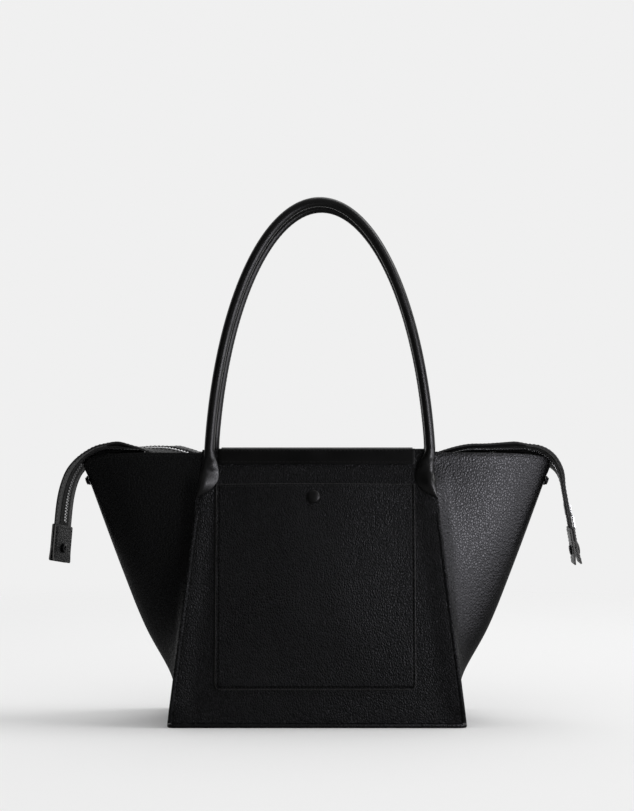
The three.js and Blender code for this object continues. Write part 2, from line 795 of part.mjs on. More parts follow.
// Closed chain: one tape under both rows of meshed teeth
function closedChain(frameAt, length, shares, end) {
  const tape = solid(ribbonPiece(frameAt, shares, [-tapeHalf, tapeHalf], [tapeFoot, tapeTop]));
  const tooth = ribbonTooth(frameAt, length);
  const frontRow = toothRow(0, end, 0.25, -toothHalf, toothReach, tooth);
  const rearRow = toothRow(0, end, 0.75, -toothReach, toothHalf, tooth);
  return wasm.Manifold.union([tape, ...frontRow, ...rearRow]);
}

// One open row of the right tab, with a slit between the rows for the slider's wedge
function openRow(frameAt, length, shares, teethEnd, sign) {
  const [inner, outer] = [sign * railSlit / 2, sign * tapeHalf].sort((a, b) => a - b);
  const tape = solid(ribbonPiece(frameAt, shares, [inner, outer], [tapeFoot, tapeTop]));
  const [low, high] = [sign * railSlit / 2, sign * toothHalf].sort((a, b) => a - b);
  const teeth = toothRow(0, teethEnd, sign > 0 ? 0.25 : 0.75, low, high, ribbonTooth(frameAt, length));
  return wasm.Manifold.union([tape, ...teeth]);
}

const strips = { front: [-ribbonHalf, -slotHalf], rear: [slotHalf, ribbonHalf] };
const stripLevels = [-stripTop, stripTop];

function zipEnd(side, turn) {
  const group = new THREE.Group();
  group.rotation.z = turn;
  bag.add(group);
  const worldSide = turn ? { front: "rear", rear: "front" } : { front: "front", rear: "rear" };
  const shape = tabShape[side];

  // rolled so that one long edge rests on the wing, more so near its tip
  const bridge = new BridgeLine();
  const bridgeShares = evenShares(bridgeSteps);
  const bridgeTilt = (share) => -degToRad(
    lerp(0, ribbonTilt, smoothstep(share, 0, 0.32)) + (ribbonTipTilt - ribbonTilt) * smoothstep(share, 0.65, 1));
  const bridgeFrame = (share) => ribbonFrame(bridge, share, bridgeTilt(share));
  const tab = new TabLine(shape);
  const tabLength = tab.runLength;
  const tabTwist = (share) => degToRad(
    lerp(-ribbonTipTilt, shape.twist, smoothstep(share * tabLength, 0, twistLength)));
  const tabFrame = (share) => ribbonFrame(tab, share, tabTwist(share));
  const coverStart = tabLength - coverLength;
  const ribbonEnd = coverStart + coverPocket - 2 * clearance;
  const tabShares = [
    ...evenShares(bendSteps).map((share) => share * tab.bendLength / tabLength),
    ...evenShares(fallSteps).slice(1).map((share) => lerp(tab.bendLength, ribbonEnd, share) / tabLength),
  ];

  for (const edge of ["front", "rear"]) {
    const bridgeStrip = ribbonPiece(bridgeFrame, bridgeShares, strips[edge], stripLevels);
    group.add(meshOf(`${side}_${worldSide[edge]}_bridge_strip`, bridgeStrip, grainLeather));
    const tabStrip = ribbonPiece(tabFrame, tabShares, strips[edge], stripLevels);
    group.add(meshOf(`${side}_${worldSide[edge]}_tab_strip`, tabStrip, grainLeather));
  }
  const bridgeChain = closedChain(bridgeFrame, bridge.getLength(), bridgeShares, bridge.getLength());
  group.add(meshOf(`${side}_bridge_chain`, bridgeChain, zipMetal));

  if (side === "left") {
    group.add(meshOf("left_tab_chain", closedChain(tabFrame, tabLength, tabShares, ribbonEnd), zipMetal));
  } else {
    const teethEnd = coverStart - 2 * clearance;
    for (const [edge, sign] of [["front", -1], ["rear", 1]]) {
      const row = openRow(tabFrame, tabLength, tabShares, teethEnd, sign);
      group.add(meshOf(`right_${edge}_tab_chain`, row, zipMetal));
    }
  }

  // The straight fall carries the end cover, its snap and the slider in one flat frame
  const { origin, along, across, up } = tabFrame(1);
  const fall = new THREE.Group();
  fall.applyMatrix4(new THREE.Matrix4().makeBasis(along, across, up).setPosition(origin));
  group.add(fall);
  tabEnd(side, fall);
  if (side === "right") slider(fall, shape.straight);
}

// Folded end cover with a snap through it; the frame's origin is the ribbon's end
function tabEnd(side, fall) {
  const half = coverThickness / 2;
  const outline = roundedRectangle(-coverHalf, coverHalf, -coverLength, 0, 0, coverCorner);
  const fold = new THREE.ExtrudeGeometry(
    outline, { depth: coverThickness, bevelEnabled: false, curveSegments: 4 });
  fold.translate(0, 0, -half).rotateZ(-quarterTurn);
  const mouth = box(
    [-coverLength - 1, -ribbonHalf - clearance, tapeFoot - clearance],
    [-coverLength + coverPocket, ribbonHalf + clearance, stripTop + clearance]);
  const upright = (geometry) => geometry.rotateX(quarterTurn).translate(-coverSnapFromEnd, 0, 0);
  const hole = upright(pin(snapPost + clearance, -coverThickness, coverThickness));
  const socketSeat = -half - clearance;
  const cover = solid(fold).subtract(solid(mouth)).subtract(solid(hole));
  fall.add(meshOf(`${side}_tab_end_cover`, cover, grainLeather));
  const cap = upright(snapCap(half + clearance, socketSeat - 2 * clearance));
  const socket = upright(snapSocket(socketSeat - tabSocketHeight, socketSeat));
  fall.add(meshOf(`${side}_tab_snap_cap`, cap, smoothLeather));
  fall.add(meshOf(`${side}_tab_snap_socket`, socket, zipMetal));
}

// Slider: two plates joined by a wedge between the rows, and a bail that holds the puller's ring
function slider(fall, straight) {
  const group = new THREE.Group();
  group.position.x = sliderPlace - straight;
  fall.add(group);
  const half = sliderLength / 2;
  const outline = polygon([
    [-half, -sliderBack], [half * 0.4, -sliderFront], [half, -sliderFront * 0.8],
    [half, sliderFront * 0.8], [half * 0.4, sliderFront], [-half, sliderBack],
  ]);
  const plateFoot = toothTop + clearance;
  const plateTop = plateFoot + sliderPlate;
  const underTop = tapeFoot - clearance;
  const cover = (foot) => solid(new THREE.ExtrudeGeometry(outline, { depth: sliderPlate, bevelEnabled: false })
    .translate(0, 0, foot));
  const wedge = solid(box(
    [half * 0.3, -sliderWedge / 2, underTop - sliderPlate / 2],
    [half, sliderWedge / 2, plateFoot + sliderPlate / 2]));
  const arch = new THREE.Shape();
  arch.absellipse(0, 0, bailLength / 2, bailHeight, 0, halfTurn);
  arch.absellipse(0, 0, bailLength / 2 - bailWire, bailHeight - bailWire, halfTurn, 0, true);
  const bailBlank = new THREE.ExtrudeGeometry(
    arch, { depth: bailWidth, bevelEnabled: false, curveSegments: 8 });
  bailBlank.translate(0, 0, -bailWidth / 2);
  const bail = solid(bailBlank.rotateX(quarterTurn).translate(0, 0, plateTop - clearance));
  const body = cover(plateFoot).add(cover(underTop - sliderPlate)).add(wedge).add(bail);
  group.add(meshOf("zip_slider", body, zipMetal));

  const pivotUp = plateTop + (bailHeight - bailWire) / 2;
  const ring = solid(new THREE.TorusGeometry(ringRadius, ringWire, 6, 16).translate(ringRadius, 0, pivotUp));
  const barFoot = pivotUp + ringWire / 2;
  const barStart = 2 * ringRadius - ringWire;
  const barShape = roundedRectangle(-pullWidth / 2, pullWidth / 2, 0, pullLength, pullWidth / 4);
  const barBlank = new THREE.ExtrudeGeometry(
    barShape, { depth: pullThickness, bevelEnabled: false, curveSegments: 4 });
  const bar = solid(barBlank.rotateZ(-quarterTurn).translate(barStart, 0, barFoot));
  group.add(meshOf("zip_puller", ring.add(bar), zipMetal));
}

zipEnd("right", 0);
zipEnd("left", halfTurn);

export default bag;
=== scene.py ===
import math

import bpy
import numpy as np
from mathutils import Matrix, Vector


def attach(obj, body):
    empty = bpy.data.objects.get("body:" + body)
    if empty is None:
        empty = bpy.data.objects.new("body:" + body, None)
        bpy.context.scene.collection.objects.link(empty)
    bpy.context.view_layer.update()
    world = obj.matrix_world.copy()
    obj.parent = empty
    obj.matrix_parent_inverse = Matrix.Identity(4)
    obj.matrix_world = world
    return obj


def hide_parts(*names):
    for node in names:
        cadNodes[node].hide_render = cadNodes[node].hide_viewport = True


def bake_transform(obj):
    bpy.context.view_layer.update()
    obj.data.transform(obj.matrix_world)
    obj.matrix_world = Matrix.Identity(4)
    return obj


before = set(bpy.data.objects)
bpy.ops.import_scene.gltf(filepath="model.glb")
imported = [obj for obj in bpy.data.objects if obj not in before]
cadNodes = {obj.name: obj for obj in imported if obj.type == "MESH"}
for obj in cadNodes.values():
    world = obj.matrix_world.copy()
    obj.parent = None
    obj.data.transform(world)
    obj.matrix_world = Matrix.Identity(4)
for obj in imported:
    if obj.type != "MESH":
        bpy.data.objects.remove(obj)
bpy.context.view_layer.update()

mm = 0.001


# Small tools

def deselectAll():
    if bpy.context.mode != "OBJECT":
        bpy.ops.object.mode_set(mode="OBJECT")
    bpy.ops.object.select_all(action="DESELECT")


def takeUp(piece):
    deselectAll()
    piece.select_set(True)
    bpy.context.view_layer.objects.active = piece


def nameIt(name):
    piece = bpy.context.active_object
    piece.name = name
    piece.data.name = name
    return piece


def useModifier(piece, kind, **settings):
    takeUp(piece)
    step = piece.modifiers.new(kind.lower(), kind)
    for key, value in settings.items():
        setattr(step, key, value)
    bpy.ops.object.modifier_apply(modifier=step.name)


def thicken(piece, thickness, offset=-1, **settings):
    useModifier(piece, "SOLIDIFY", thickness=thickness * mm, offset=offset, **settings)


def roundEdges(piece, width, angle=30, segments=2, **settings):
    useModifier(piece, "BEVEL", width=width * mm, segments=segments, limit_method="ANGLE",
                angle_limit=math.radians(angle), **settings)


def editAll(piece):
    takeUp(piece)
    bpy.ops.object.mode_set(mode="EDIT")
    bpy.ops.mesh.select_all(action="SELECT")


def turnOut(piece):
    editAll(piece)
    bpy.ops.mesh.normals_make_consistent(inside=False)
    bpy.ops.object.mode_set(mode="OBJECT")


def setCorners(piece, points):
    piece.data.vertices.foreach_set("co", np.asarray(points, np.float32).ravel())
    piece.data.update()


def cornersOf(piece):
    flat = np.zeros(len(piece.data.vertices) * 3, np.float32)
    piece.data.vertices.foreach_get("co", flat)
    return flat.reshape(-1, 3)


# A flat grid laid over a shape: shape(across, up) gives each corner in millimetres
def gridPiece(name, columns, rows, shape):
    deselectAll()
    bpy.ops.mesh.primitive_grid_add(x_subdivisions=columns, y_subdivisions=rows, size=1)
    piece = nameIt(name)
    shares = cornersOf(piece)[:, :2] + 0.5
    setCorners(piece, np.array([shape(across, up) for across, up in shares]) * mm)
    return piece


# Closes the seam of a grid that was rolled into a tube, and turns its faces outwards
def closeRoll(piece, fillEnds=False):
    editAll(piece)
    bpy.ops.mesh.remove_doubles(threshold=0.02 * mm)
    if fillEnds:
        bpy.ops.mesh.select_all(action="DESELECT")
        bpy.ops.mesh.select_non_manifold(extend=False)
        bpy.ops.mesh.fill_holes(sides=0)
        bpy.ops.mesh.select_all(action="SELECT")
    bpy.ops.mesh.normals_make_consistent(inside=False)
    bpy.ops.object.mode_set(mode="OBJECT")


# A tube over rings of points; a closed one comes back to its first ring
def skinRings(name, rings, closed=False):
    if closed:
        rings = rings + [rings[0]]
    rows, sides = len(rings) - 1, len(rings[0])

    def shape(around, along):
        return rings[int(round(along * rows))][int(round(around * sides)) % sides]

    piece = gridPiece(name, sides, rows, shape)
    closeRoll(piece, not closed)
    return piece


# A round piece spun about local +Z from a profile of (radius, height)
def turnedPiece(name, profile, sides=24):
    deselectAll()
    bpy.ops.mesh.primitive_circle_add(vertices=len(profile), radius=1, fill_type="NOTHING")
    piece = nameIt(name)
    setCorners(piece, np.array([(radius, 0, height) for radius, height in profile]) * mm)
    editAll(piece)
    bpy.ops.mesh.spin(steps=sides, angle=2 * math.pi, center=(0, 0, 0), axis=(0, 0, 1))
    bpy.ops.mesh.select_all(action="SELECT")
    bpy.ops.mesh.remove_doubles(threshold=0.005 * mm)
    bpy.ops.mesh.delete_loose()
    bpy.ops.mesh.select_all(action="SELECT")
    bpy.ops.mesh.dissolve_degenerate(threshold=0.002 * mm)
    bpy.ops.mesh.select_all(action="SELECT")
    bpy.ops.mesh.normals_make_consistent(inside=False)
    bpy.ops.object.mode_set(mode="OBJECT")
    return piece


# A block with rounded edges; low and high are opposite corners in millimetres
def blockPiece(name, low, high, edge, segments=2):
    deselectAll()
    centre = [(a + b) / 2 * mm for a, b in zip(low, high)]
    size = [(b - a) * mm for a, b in zip(low, high)]
    bpy.ops.mesh.primitive_cube_add(size=1, location=centre, scale=size)
    piece = nameIt(name)
    bpy.ops.object.transform_apply(location=True, rotation=True, scale=True)
    roundEdges(piece, edge, segments=segments)
    return piece


def moveMesh(piece, matrix):
    piece.data.transform(matrix)
    if matrix.determinant() < 0:
        piece.data.flip_normals()
    piece.data.update()


def copyPiece(piece, name, matrix=None):
    twin = piece.copy()
    twin.data = piece.data.copy()
    twin.name = name
    twin.data.name = name
    bpy.context.collection.objects.link(twin)
    if matrix is not None:
        moveMesh(twin, matrix)
    return twin


def joinPieces(name, pieces):
    deselectAll()
    for piece in pieces:
        piece.select_set(True)
    bpy.context.view_layer.objects.active = pieces[0]
    bpy.ops.object.join()
    return nameIt(name)


# One small shape set down many times as one mesh
def scatterCopies(name, corners, faces, matrices):
    spots = np.hstack([np.asarray(corners), np.ones((len(corners), 1))])
    points = np.vstack([(spots @ np.asarray(m).T)[:, :3] for m in matrices]) * mm
    count = len(corners)
    loops = [[i + k * count for i in face] for k in range(len(matrices)) for face in faces]
    mesh = bpy.data.meshes.new(name)
    mesh.from_pydata(points.tolist(), [], loops)
    mesh.update()
    piece = bpy.data.objects.new(name, mesh)
    bpy.context.collection.objects.link(piece)
    return piece


def frameMatrix(origin, along, across, up):
    matrix = np.eye(4)
    for k, column in enumerate((along, across, up, origin)):
        matrix[:3, k] = column
    return matrix


def frameAt(origin, along, up):
    along = np.asarray(along, float) / np.linalg.norm(along)
    across = np.cross(up, along)
    across = across / np.linalg.norm(across)
    return frameMatrix(origin, along, across, np.cross(along, across))


# Moves a mesh from its own frame to a place in millimetres
def standAt(origin, first, second, third):
    return Matrix.Translation(Vector(origin) * mm) @ Matrix((first, second, third)).transposed().to_4x4()


# Points at an even pitch along a line, with the line's direction at each
def evenPoints(line, pitch, phase=0.5):
    line = np.asarray(line, float)
    legs = np.linalg.norm(np.diff(line, axis=0), axis=1)
    run = np.concatenate([[0], np.cumsum(legs)])
    places = np.arange(pitch * phase, run[-1], pitch)
    spots = np.stack([np.interp(places, run, line[:, k]) for k in range(3)], axis=1)
    ahead = np.stack([np.interp(places + 0.4, run, line[:, k]) for k in range(3)], axis=1)
    behind = np.stack([np.interp(places - 0.4, run, line[:, k]) for k in range(3)], axis=1)
    return spots, ahead - behind


# Thread
stitch = {
    "pitch": 4.0, "length": 2.7, "width": 0.75, "height": 0.5, "sink": 0.12,
    "sides": 6, "endSize": 0.35, "fullPart": 0.6, "hump": 0.8,
}


def stitchShape():
    half, sides, endSize = stitch["length"] / 2, stitch["sides"], stitch["endSize"]
    full = stitch["fullPart"] * half
    rings = [(-half, endSize), (-full, 1), (full, 1), (half, endSize)]
    corners, faces = [], []
    for place, size in rings:
        lift = stitch["height"] * (size - endSize) * stitch["hump"]
        for k in range(sides):
            angle = 2 * math.pi * k / sides
            corners.append((
                place,
                stitch["width"] / 2 * size * math.cos(angle),
                lift + stitch["height"] / 2 * size * math.sin(angle)))
    for ring in range(len(rings) - 1):
        for k in range(sides):
            near, far = ring * sides + k, ring * sides + (k + 1) % sides
            faces.append((near, near + sides, far + sides, far))
    faces.append(tuple(range(sides)))
    faces.append(tuple(range(len(corners) - 1, len(corners) - 1 - sides, -1)))
    return corners, faces


# A row of stitches: lines are pairs of (points, outward direction or function of a point)
def stitchRow(name, lines, pitch=None):
    corners, faces = stitchShape()
    matrices = []
    for line, out in lines:
        spots, ways = evenPoints(line, pitch or stitch["pitch"])
        for spot, way in zip(spots, ways):
            up = np.asarray(out(spot) if callable(out) else out, float)
            up = up / np.linalg.norm(up)
            matrices.append(frameAt(spot - up * stitch["sink"], way, up))
    piece = scatterCopies(name, corners, faces, matrices)
    turnOut(piece)
    return piece


def giveFinishes(piece, finishes):
    places = [face.material_index for face in piece.data.polygons]
    piece.data.materials.clear()
    for finish in finishes:
        piece.data.materials.append(finish)
    piece.data.polygons.foreach_set("material_index", [min(p, len(finishes) - 1) for p in places])


# Puts a finished piece on its body, with its finish and the CAD nodes that it stands for
def settle(piece, finishes, body, nodes=(), angle=35):
    giveFinishes(piece, finishes if isinstance(finishes, (list, tuple)) else [finishes])
    takeUp(piece)
    bpy.ops.object.shade_smooth_by_angle(angle=math.radians(angle))
    if isinstance(body, str):
        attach(piece, body)
    else:
        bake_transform(piece)
    if nodes:
        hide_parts(*nodes)
    return piece


print("tools ready")


# Camera, floor and light

stage = {
    "cameraPlace": (0, -2.3, 0.3326),
    "focalLength": 95.8,
    "paleGrey": 0.8714,
    "floorSize": 9,
    "floorPlace": (0, 0, -0.0002),
    "floorFade": (0.9, 1.9),
    "fillLight": 0.66,
    "floorInGloss": 0.15,
    "roomBehind": (0.0, 0.8, 0.01, 0.85),
    "roomAbove": (0.45, 1.0, 0.0, 0.25),
    "softboxes": [((0.02, -0.93, 0.36), 0.95, 0.82, 0.12), ((-0.33, -0.93, 0.12), 0.996, 0.985, 0.3)],
    "lampWhite": (1, 1, 1),
    "glossWhite": (0.95, 0.94, 1.0),
}
# Each lamp: name, place, target, size, power, and whether it shows in gloss alone
lamps = [
    ("keyLamp", (11.5, 0.35, 9.45), (0, 0, 0.2), (6.5, 7.5), 888, False),
    ("wingLamp", (0.452, -0.563, 0.26), (0.19, 0, 0.24), (0.22, 0.24), 1.5, True),
    ("handleLamp", (0.75, -0.75, 0.58), (0, 0, 0.4), (0.25, 0.5), 1.3, True),
    ("edgeLamp", (0.766, -0.299, 0.19), (0.19, 0, 0.2), (0.54, 0.24), 1.05, True),
    ("topLamp", (0.35, 0.5, 2.1), (0, 0, 0.3), (1.2, 0.8), 7, False),
]


def newTree(owner):
    owner.use_nodes = True
    tree = owner.node_tree
    tree.nodes.clear()
    return tree


def setInputs(tree, node, inputs):
    for key, value in inputs.items():
        if isinstance(value, bpy.types.NodeSocket):
            tree.links.new(value, node.inputs[key])
        else:
            node.inputs[key].default_value = value


def addNode(tree, kind, inputs=None, **settings):
    node = tree.nodes.new(kind)
    for key, value in settings.items():
        setattr(node, key, value)
    setInputs(tree, node, inputs or {})
    return node


def mathNode(tree, operation, *values):
    return addNode(tree, "ShaderNodeMath", dict(enumerate(values)), operation=operation).outputs[0]


def vectorNode(tree, operation, first, second=None):
    inputs = {0: first}
    if second is not None:
        inputs["Scale" if operation == "SCALE" else 1] = second
    outputs = addNode(tree, "ShaderNodeVectorMath", inputs, operation=operation).outputs
    return outputs["Value" if operation in ("DOT_PRODUCT", "LENGTH") else "Vector"]


def noiseNode(tree, place, scale, detail, **more):
    inputs = {"Vector": place, "Scale": scale, "Detail": detail, **more}
    return addNode(tree, "ShaderNodeTexNoise", inputs).outputs


def cellNode(tree, place, feature, scale=1.0):
    cells = addNode(tree, "ShaderNodeTexVoronoi", {"Vector": place, "Scale": scale}, feature=feature)
    return cells.outputs["Distance"]


def spread(tree, value, low, high, toLow, toHigh, smooth=False):
    inputs = {"Value": value, "From Min": low, "From Max": high, "To Min": toLow, "To Max": toHigh}
    kind = "SMOOTHSTEP" if smooth else "LINEAR"
    return addNode(tree, "ShaderNodeMapRange", inputs, interpolation_type=kind).outputs["Result"]


def mixColours(tree, share, first, second):
    node = addNode(tree, "ShaderNodeMix", data_type="RGBA")
    sockets = [s for s in node.inputs if s.type == "RGBA"]
    for socket, value in ((node.inputs["Factor"], share), (sockets[0], first), (sockets[1], second)):
        if isinstance(value, bpy.types.NodeSocket):
            tree.links.new(value, socket)
        else:
            socket.default_value = value
    return next(s for s in node.outputs if s.type == "RGBA")


def grey(level, warmth=0.0):
    return (level * (1 + warmth), level, level * (1 - warmth), 1)


def makeCamera():
    view = bpy.data.cameras.new("camera")
    view.lens = stage["focalLength"]
    view.sensor_width = 36
    view.sensor_fit = "AUTO"
    view.clip_start = 0.05
    view.clip_end = 60
    camera = bpy.data.objects.new("camera", view)
    camera.location = stage["cameraPlace"]
    camera.rotation_euler = (math.pi / 2, 0, 0)
    bpy.context.collection.objects.link(camera)
    bpy.context.scene.camera = camera


def makeFloor():
    deselectAll()
    bpy.ops.mesh.primitive_plane_add(size=stage["floorSize"], location=stage["floorPlace"])
    floor = nameIt("floor")
    material = bpy.data.materials.new("paleFloor")
    tree = newTree(material)
    place = addNode(tree, "ShaderNodeTexCoord").outputs["Object"]
    reach = vectorNode(tree, "LENGTH", place)
    fade = spread(tree, reach, *stage["floorFade"], 0.0, 1.0, True)
    ray = addNode(tree, "ShaderNodeLightPath").outputs["Is Glossy Ray"]
    pale, dim = grey(stage["paleGrey"]), grey(stage["paleGrey"] * stage["floorInGloss"])
    matt = addNode(tree, "ShaderNodeBsdfDiffuse", {"Color": mixColours(tree, ray, pale, dim)})
    clear = addNode(tree, "ShaderNodeBsdfTransparent")
    both = addNode(tree, "ShaderNodeMixShader", {0: fade, 1: matt.outputs[0], 2: clear.outputs[0]})
    addNode(tree, "ShaderNodeOutputMaterial", {"Surface": both.outputs[0]})
    floor.data.materials.append(material)


def makeWorld():
    world = bpy.data.worlds.new("studio")
    world.cycles.sampling_method = "NONE"
    bpy.context.scene.world = world
    tree = newTree(world)
    way = addNode(tree, "ShaderNodeTexCoord").outputs["Generated"]
    axes = addNode(tree, "ShaderNodeSeparateXYZ", {0: way}).outputs
    behind = spread(tree, axes["Y"], *stage["roomBehind"], True)
    room = mathNode(tree, "ADD", behind, spread(tree, axes["Z"], *stage["roomAbove"], True))
    for direction, inner, outer, strength in stage["softboxes"]:
        facing = vectorNode(tree, "DOT_PRODUCT", way, direction)
        room = mathNode(tree, "ADD", room, spread(tree, facing, outer, inner, 0.0, strength, True))
    ray = addNode(tree, "ShaderNodeLightPath")
    shiny = mathNode(tree, "MAXIMUM", ray.outputs["Is Glossy Ray"], ray.outputs["Is Transmission Ray"])
    seen = mixColours(tree, shiny, grey(stage["fillLight"]), room)
    colour = mixColours(tree, ray.outputs["Is Camera Ray"], seen, grey(stage["paleGrey"]))
    light = addNode(tree, "ShaderNodeBackground", {"Color": colour, "Strength": 1.0})
    addNode(tree, "ShaderNodeOutputWorld", {"Surface": light.outputs[0]})


def makeLamp(name, place, target, size, power, glossOnly):
    lamp = bpy.data.lights.new(name, "AREA")
    lamp.shape = "RECTANGLE"
    lamp.size, lamp.size_y = size
    lamp.energy = power
    lamp.color = stage["glossWhite"] if glossOnly else stage["lampWhite"]
    holder = bpy.data.objects.new(name, lamp)
    holder.location = place
    holder.rotation_euler = (Vector(target) - Vector(place)).to_track_quat("-Z", "Y").to_euler()
    holder.visible_camera = False
    holder.visible_diffuse = not glossOnly
    bpy.context.collection.objects.link(holder)


makeCamera()
makeFloor()
makeWorld()
for lampValues in lamps:
    makeLamp(*lampValues)
bpy.context.scene.view_settings.view_transform = "Standard"
print("stage ready")


# Shared surface effects

# Each group takes a place on the surface, and works on that place scaled by its density
def newGroup(name, numbers, outputs):
    group = bpy.data.node_groups.new(name, "ShaderNodeTree")
    group.interface.new_socket("Place", in_out="INPUT", socket_type="NodeSocketVector")
    for title in ["Density"] + numbers:
        group.interface.new_socket(title, in_out="INPUT", socket_type="NodeSocketFloat")
    for title in outputs:
        group.interface.new_socket(title, in_out="OUTPUT", socket_type="NodeSocketFloat")
    given = group.nodes.new("NodeGroupInput").outputs
    leaving = group.nodes.new("NodeGroupOutput")
    return group, given, vectorNode(group, "SCALE", given["Place"], given["Density"]), leaving


def makePebbleGrain():
    group, given, dense, leaving = newGroup("pebbleGrain", ["Warp"], ["Height", "Crease", "Tone"])
    drift = vectorNode(group, "SUBTRACT", noiseNode(group, dense, 0.55, 1.5)["Color"], (0.5, 0.5, 0.5))
    place = vectorNode(group, "ADD", dense, vectorNode(group, "SCALE", drift, given["Warp"]))
    valley = spread(group, cellNode(group, place, "DISTANCE_TO_EDGE"), 0.0, 0.2, 0.0, 1.0, True)
    crown = mathNode(group, "SUBTRACT", 1.0, cellNode(group, place, "SMOOTH_F1"))
    height = mathNode(group, "MULTIPLY_ADD", valley, 0.35, mathNode(group, "MULTIPLY", crown, 0.8))
    fine = noiseNode(group, dense, 3.2, 2.0)["Fac"]
    setInputs(group, leaving, {
        "Height": mathNode(group, "MULTIPLY_ADD", fine, 0.08, height),
        "Crease": mathNode(group, "SUBTRACT", 1.0, valley),
        "Tone": noiseNode(group, dense, 0.045, 3.0)["Fac"]})
    return group


def makeFineWrinkle():
    group, given, dense, leaving = newGroup("fineWrinkle", [], ["Height", "Tone"])
    pore = spread(group, cellNode(group, dense, "DISTANCE_TO_EDGE", 1.6), 0.0, 0.12, 0.0, 1.0, True)
    folds = noiseNode(group, dense, 0.16, 3.0, Distortion=0.8)["Fac"]
    ridge = mathNode(group, "ABSOLUTE", mathNode(group, "SUBTRACT", folds, 0.5))
    fold = spread(group, ridge, 0.0, 0.07, 0.0, 1.0, True)
    setInputs(group, leaving, {
        "Height": mathNode(group, "MULTIPLY_ADD", fold, 0.5, mathNode(group, "MULTIPLY", pore, 0.25)),
        "Tone": noiseNode(group, dense, 0.05, 2.0)["Fac"]})
    return group


def makeWeave():
    group, given, dense, leaving = newGroup("weave", ["Slant"], ["Height", "Tone"])
    axes = addNode(group, "ShaderNodeSeparateXYZ", {0: dense}).outputs
    upward = mathNode(group, "ADD", axes["Y"], axes["Z"])
    warp = mathNode(group, "SINE", mathNode(group, "MULTIPLY_ADD", upward, given["Slant"], axes["X"]))
    cross = mathNode(group, "MULTIPLY", warp, mathNode(group, "SINE", upward))
    setInputs(group, leaving, {
        "Height": spread(group, cross, -1.0, 1.0, 0.0, 1.0),
        "Tone": noiseNode(group, dense, 0.35, 3.0)["Fac"]})
    return group


def makeHandling():
    group, given, dense, leaving = newGroup("handlingMarks", [], ["Scratch", "Cloud"])
    drawn = addNode(group, "ShaderNodeMapping", {"Vector": dense, "Scale": (1.0, 9.0, 9.0)}).outputs[0]
    lines = noiseNode(group, drawn, 1.0, 4.0)["Fac"]
    setInputs(group, leaving, {
        "Scratch": spread(group, lines, 0.45, 0.7, 0.0, 1.0, True),
        "Cloud": noiseNode(group, dense, 0.3, 3.0)["Fac"]})
    return group


pebbleGrain = makePebbleGrain()
fineWrinkle = makeFineWrinkle()
weave = makeWeave()
handlingMarks = makeHandling()


# Finishes

def startFinish(name, stretch=(1, 1, 1)):
    material = bpy.data.materials.new(name)
    tree = newTree(material)
    shader = addNode(tree, "ShaderNodeBsdfPrincipled")
    addNode(tree, "ShaderNodeOutputMaterial", {"Surface": shader.outputs[0]})
    place = addNode(tree, "ShaderNodeTexCoord").outputs["Object"]
    mapped = addNode(tree, "ShaderNodeMapping", {"Vector": place, "Scale": stretch}).outputs[0]
    return material, tree, shader, mapped


def useGroup(tree, group, **inputs):
    return addNode(tree, "ShaderNodeGroup", inputs, node_tree=group).outputs


def raiseBump(tree, height, strength, depth):
    inputs = {"Height": height, "Strength": strength, "Distance": depth * mm}
    return addNode(tree, "ShaderNodeBump", inputs).outputs[0]


pebbles = {
    "warp": 0.7, "rough": (0.27, 0.48), "depth": 0.8, "crease": 0.95, "creaseShade": 0.1, "cool": -0.03,
}


def makePebbled(name, stretch, shine, density, dark, light, bump):
    material, tree, shader, place = startFinish(name, stretch)
    grain = useGroup(tree, pebbleGrain, Place=place, Density=density, Warp=pebbles["warp"])
    colour = mixColours(tree, grain["Tone"], grey(dark, pebbles["cool"]), grey(light, pebbles["cool"]))
    # Creases between pebbles are mixed towards a much darker colour: painted shade in the valleys
    crease = mathNode(tree, "MULTIPLY", grain["Crease"], pebbles["crease"])
    setInputs(tree, shader, {
        "Base Color": mixColours(tree, crease, colour, grey(dark * pebbles["creaseShade"])),
        "Roughness": spread(tree, grain["Crease"], 0.0, 1.0, *pebbles["rough"]),
        "Specular IOR Level": shine,
        "Specular Tint": (0.97, 0.97, 1.0, 1),
        "Normal": raiseBump(tree, grain["Height"], bump, pebbles["depth"])})
    return material


def makeSmooth(name, density, dark, light, rough, shine, stretch=(1, 1, 1)):
    material, tree, shader, place = startFinish(name, stretch)
    skin = useGroup(tree, fineWrinkle, Place=place, Density=density)
    setInputs(tree, shader, {
        "Base Color": mixColours(tree, skin["Tone"], grey(dark), grey(light)),
        "Roughness": spread(tree, skin["Tone"], 0.3, 0.7, *rough),
        "Specular IOR Level": shine,
        "Normal": raiseBump(tree, skin["Height"], 0.25, 0.25)})
    return material


def makeCloth(name, density, dark, light, slant=0.0, rough=0.85):
    material, tree, shader, place = startFinish(name)
    cloth = useGroup(tree, weave, Place=place, Density=density, Slant=slant)
    uneven = mathNode(tree, "MULTIPLY", cloth["Tone"], 0.4)
    tone = mathNode(tree, "MULTIPLY_ADD", cloth["Height"], 0.6, uneven)
    setInputs(tree, shader, {
        "Base Color": mixColours(tree, tone, grey(dark), grey(light)),
        "Roughness": rough,
        "Specular IOR Level": 0.2,
        "Sheen Weight": 0.08,
        "Normal": raiseBump(tree, cloth["Height"], 0.5, 0.2)})
    return material


def makeMetal(name, colour, rough):
    material, tree, shader, place = startFinish(name)
    marks = useGroup(tree, handlingMarks, Place=place, Density=160)
    dull = tuple(c * 0.72 for c in colour[:3]) + (1,)
    worn = mathNode(tree, "MULTIPLY", marks["Cloud"], 0.55)
    setInputs(tree, shader, {
        "Base Color": mixColours(tree, worn, colour, dull),
        "Roughness": spread(tree, marks["Scratch"], 0.0, 1.0, *rough),
        "Metallic": 1.0,
        "Normal": raiseBump(tree, marks["Scratch"], 0.08, 0.05)})
    return material


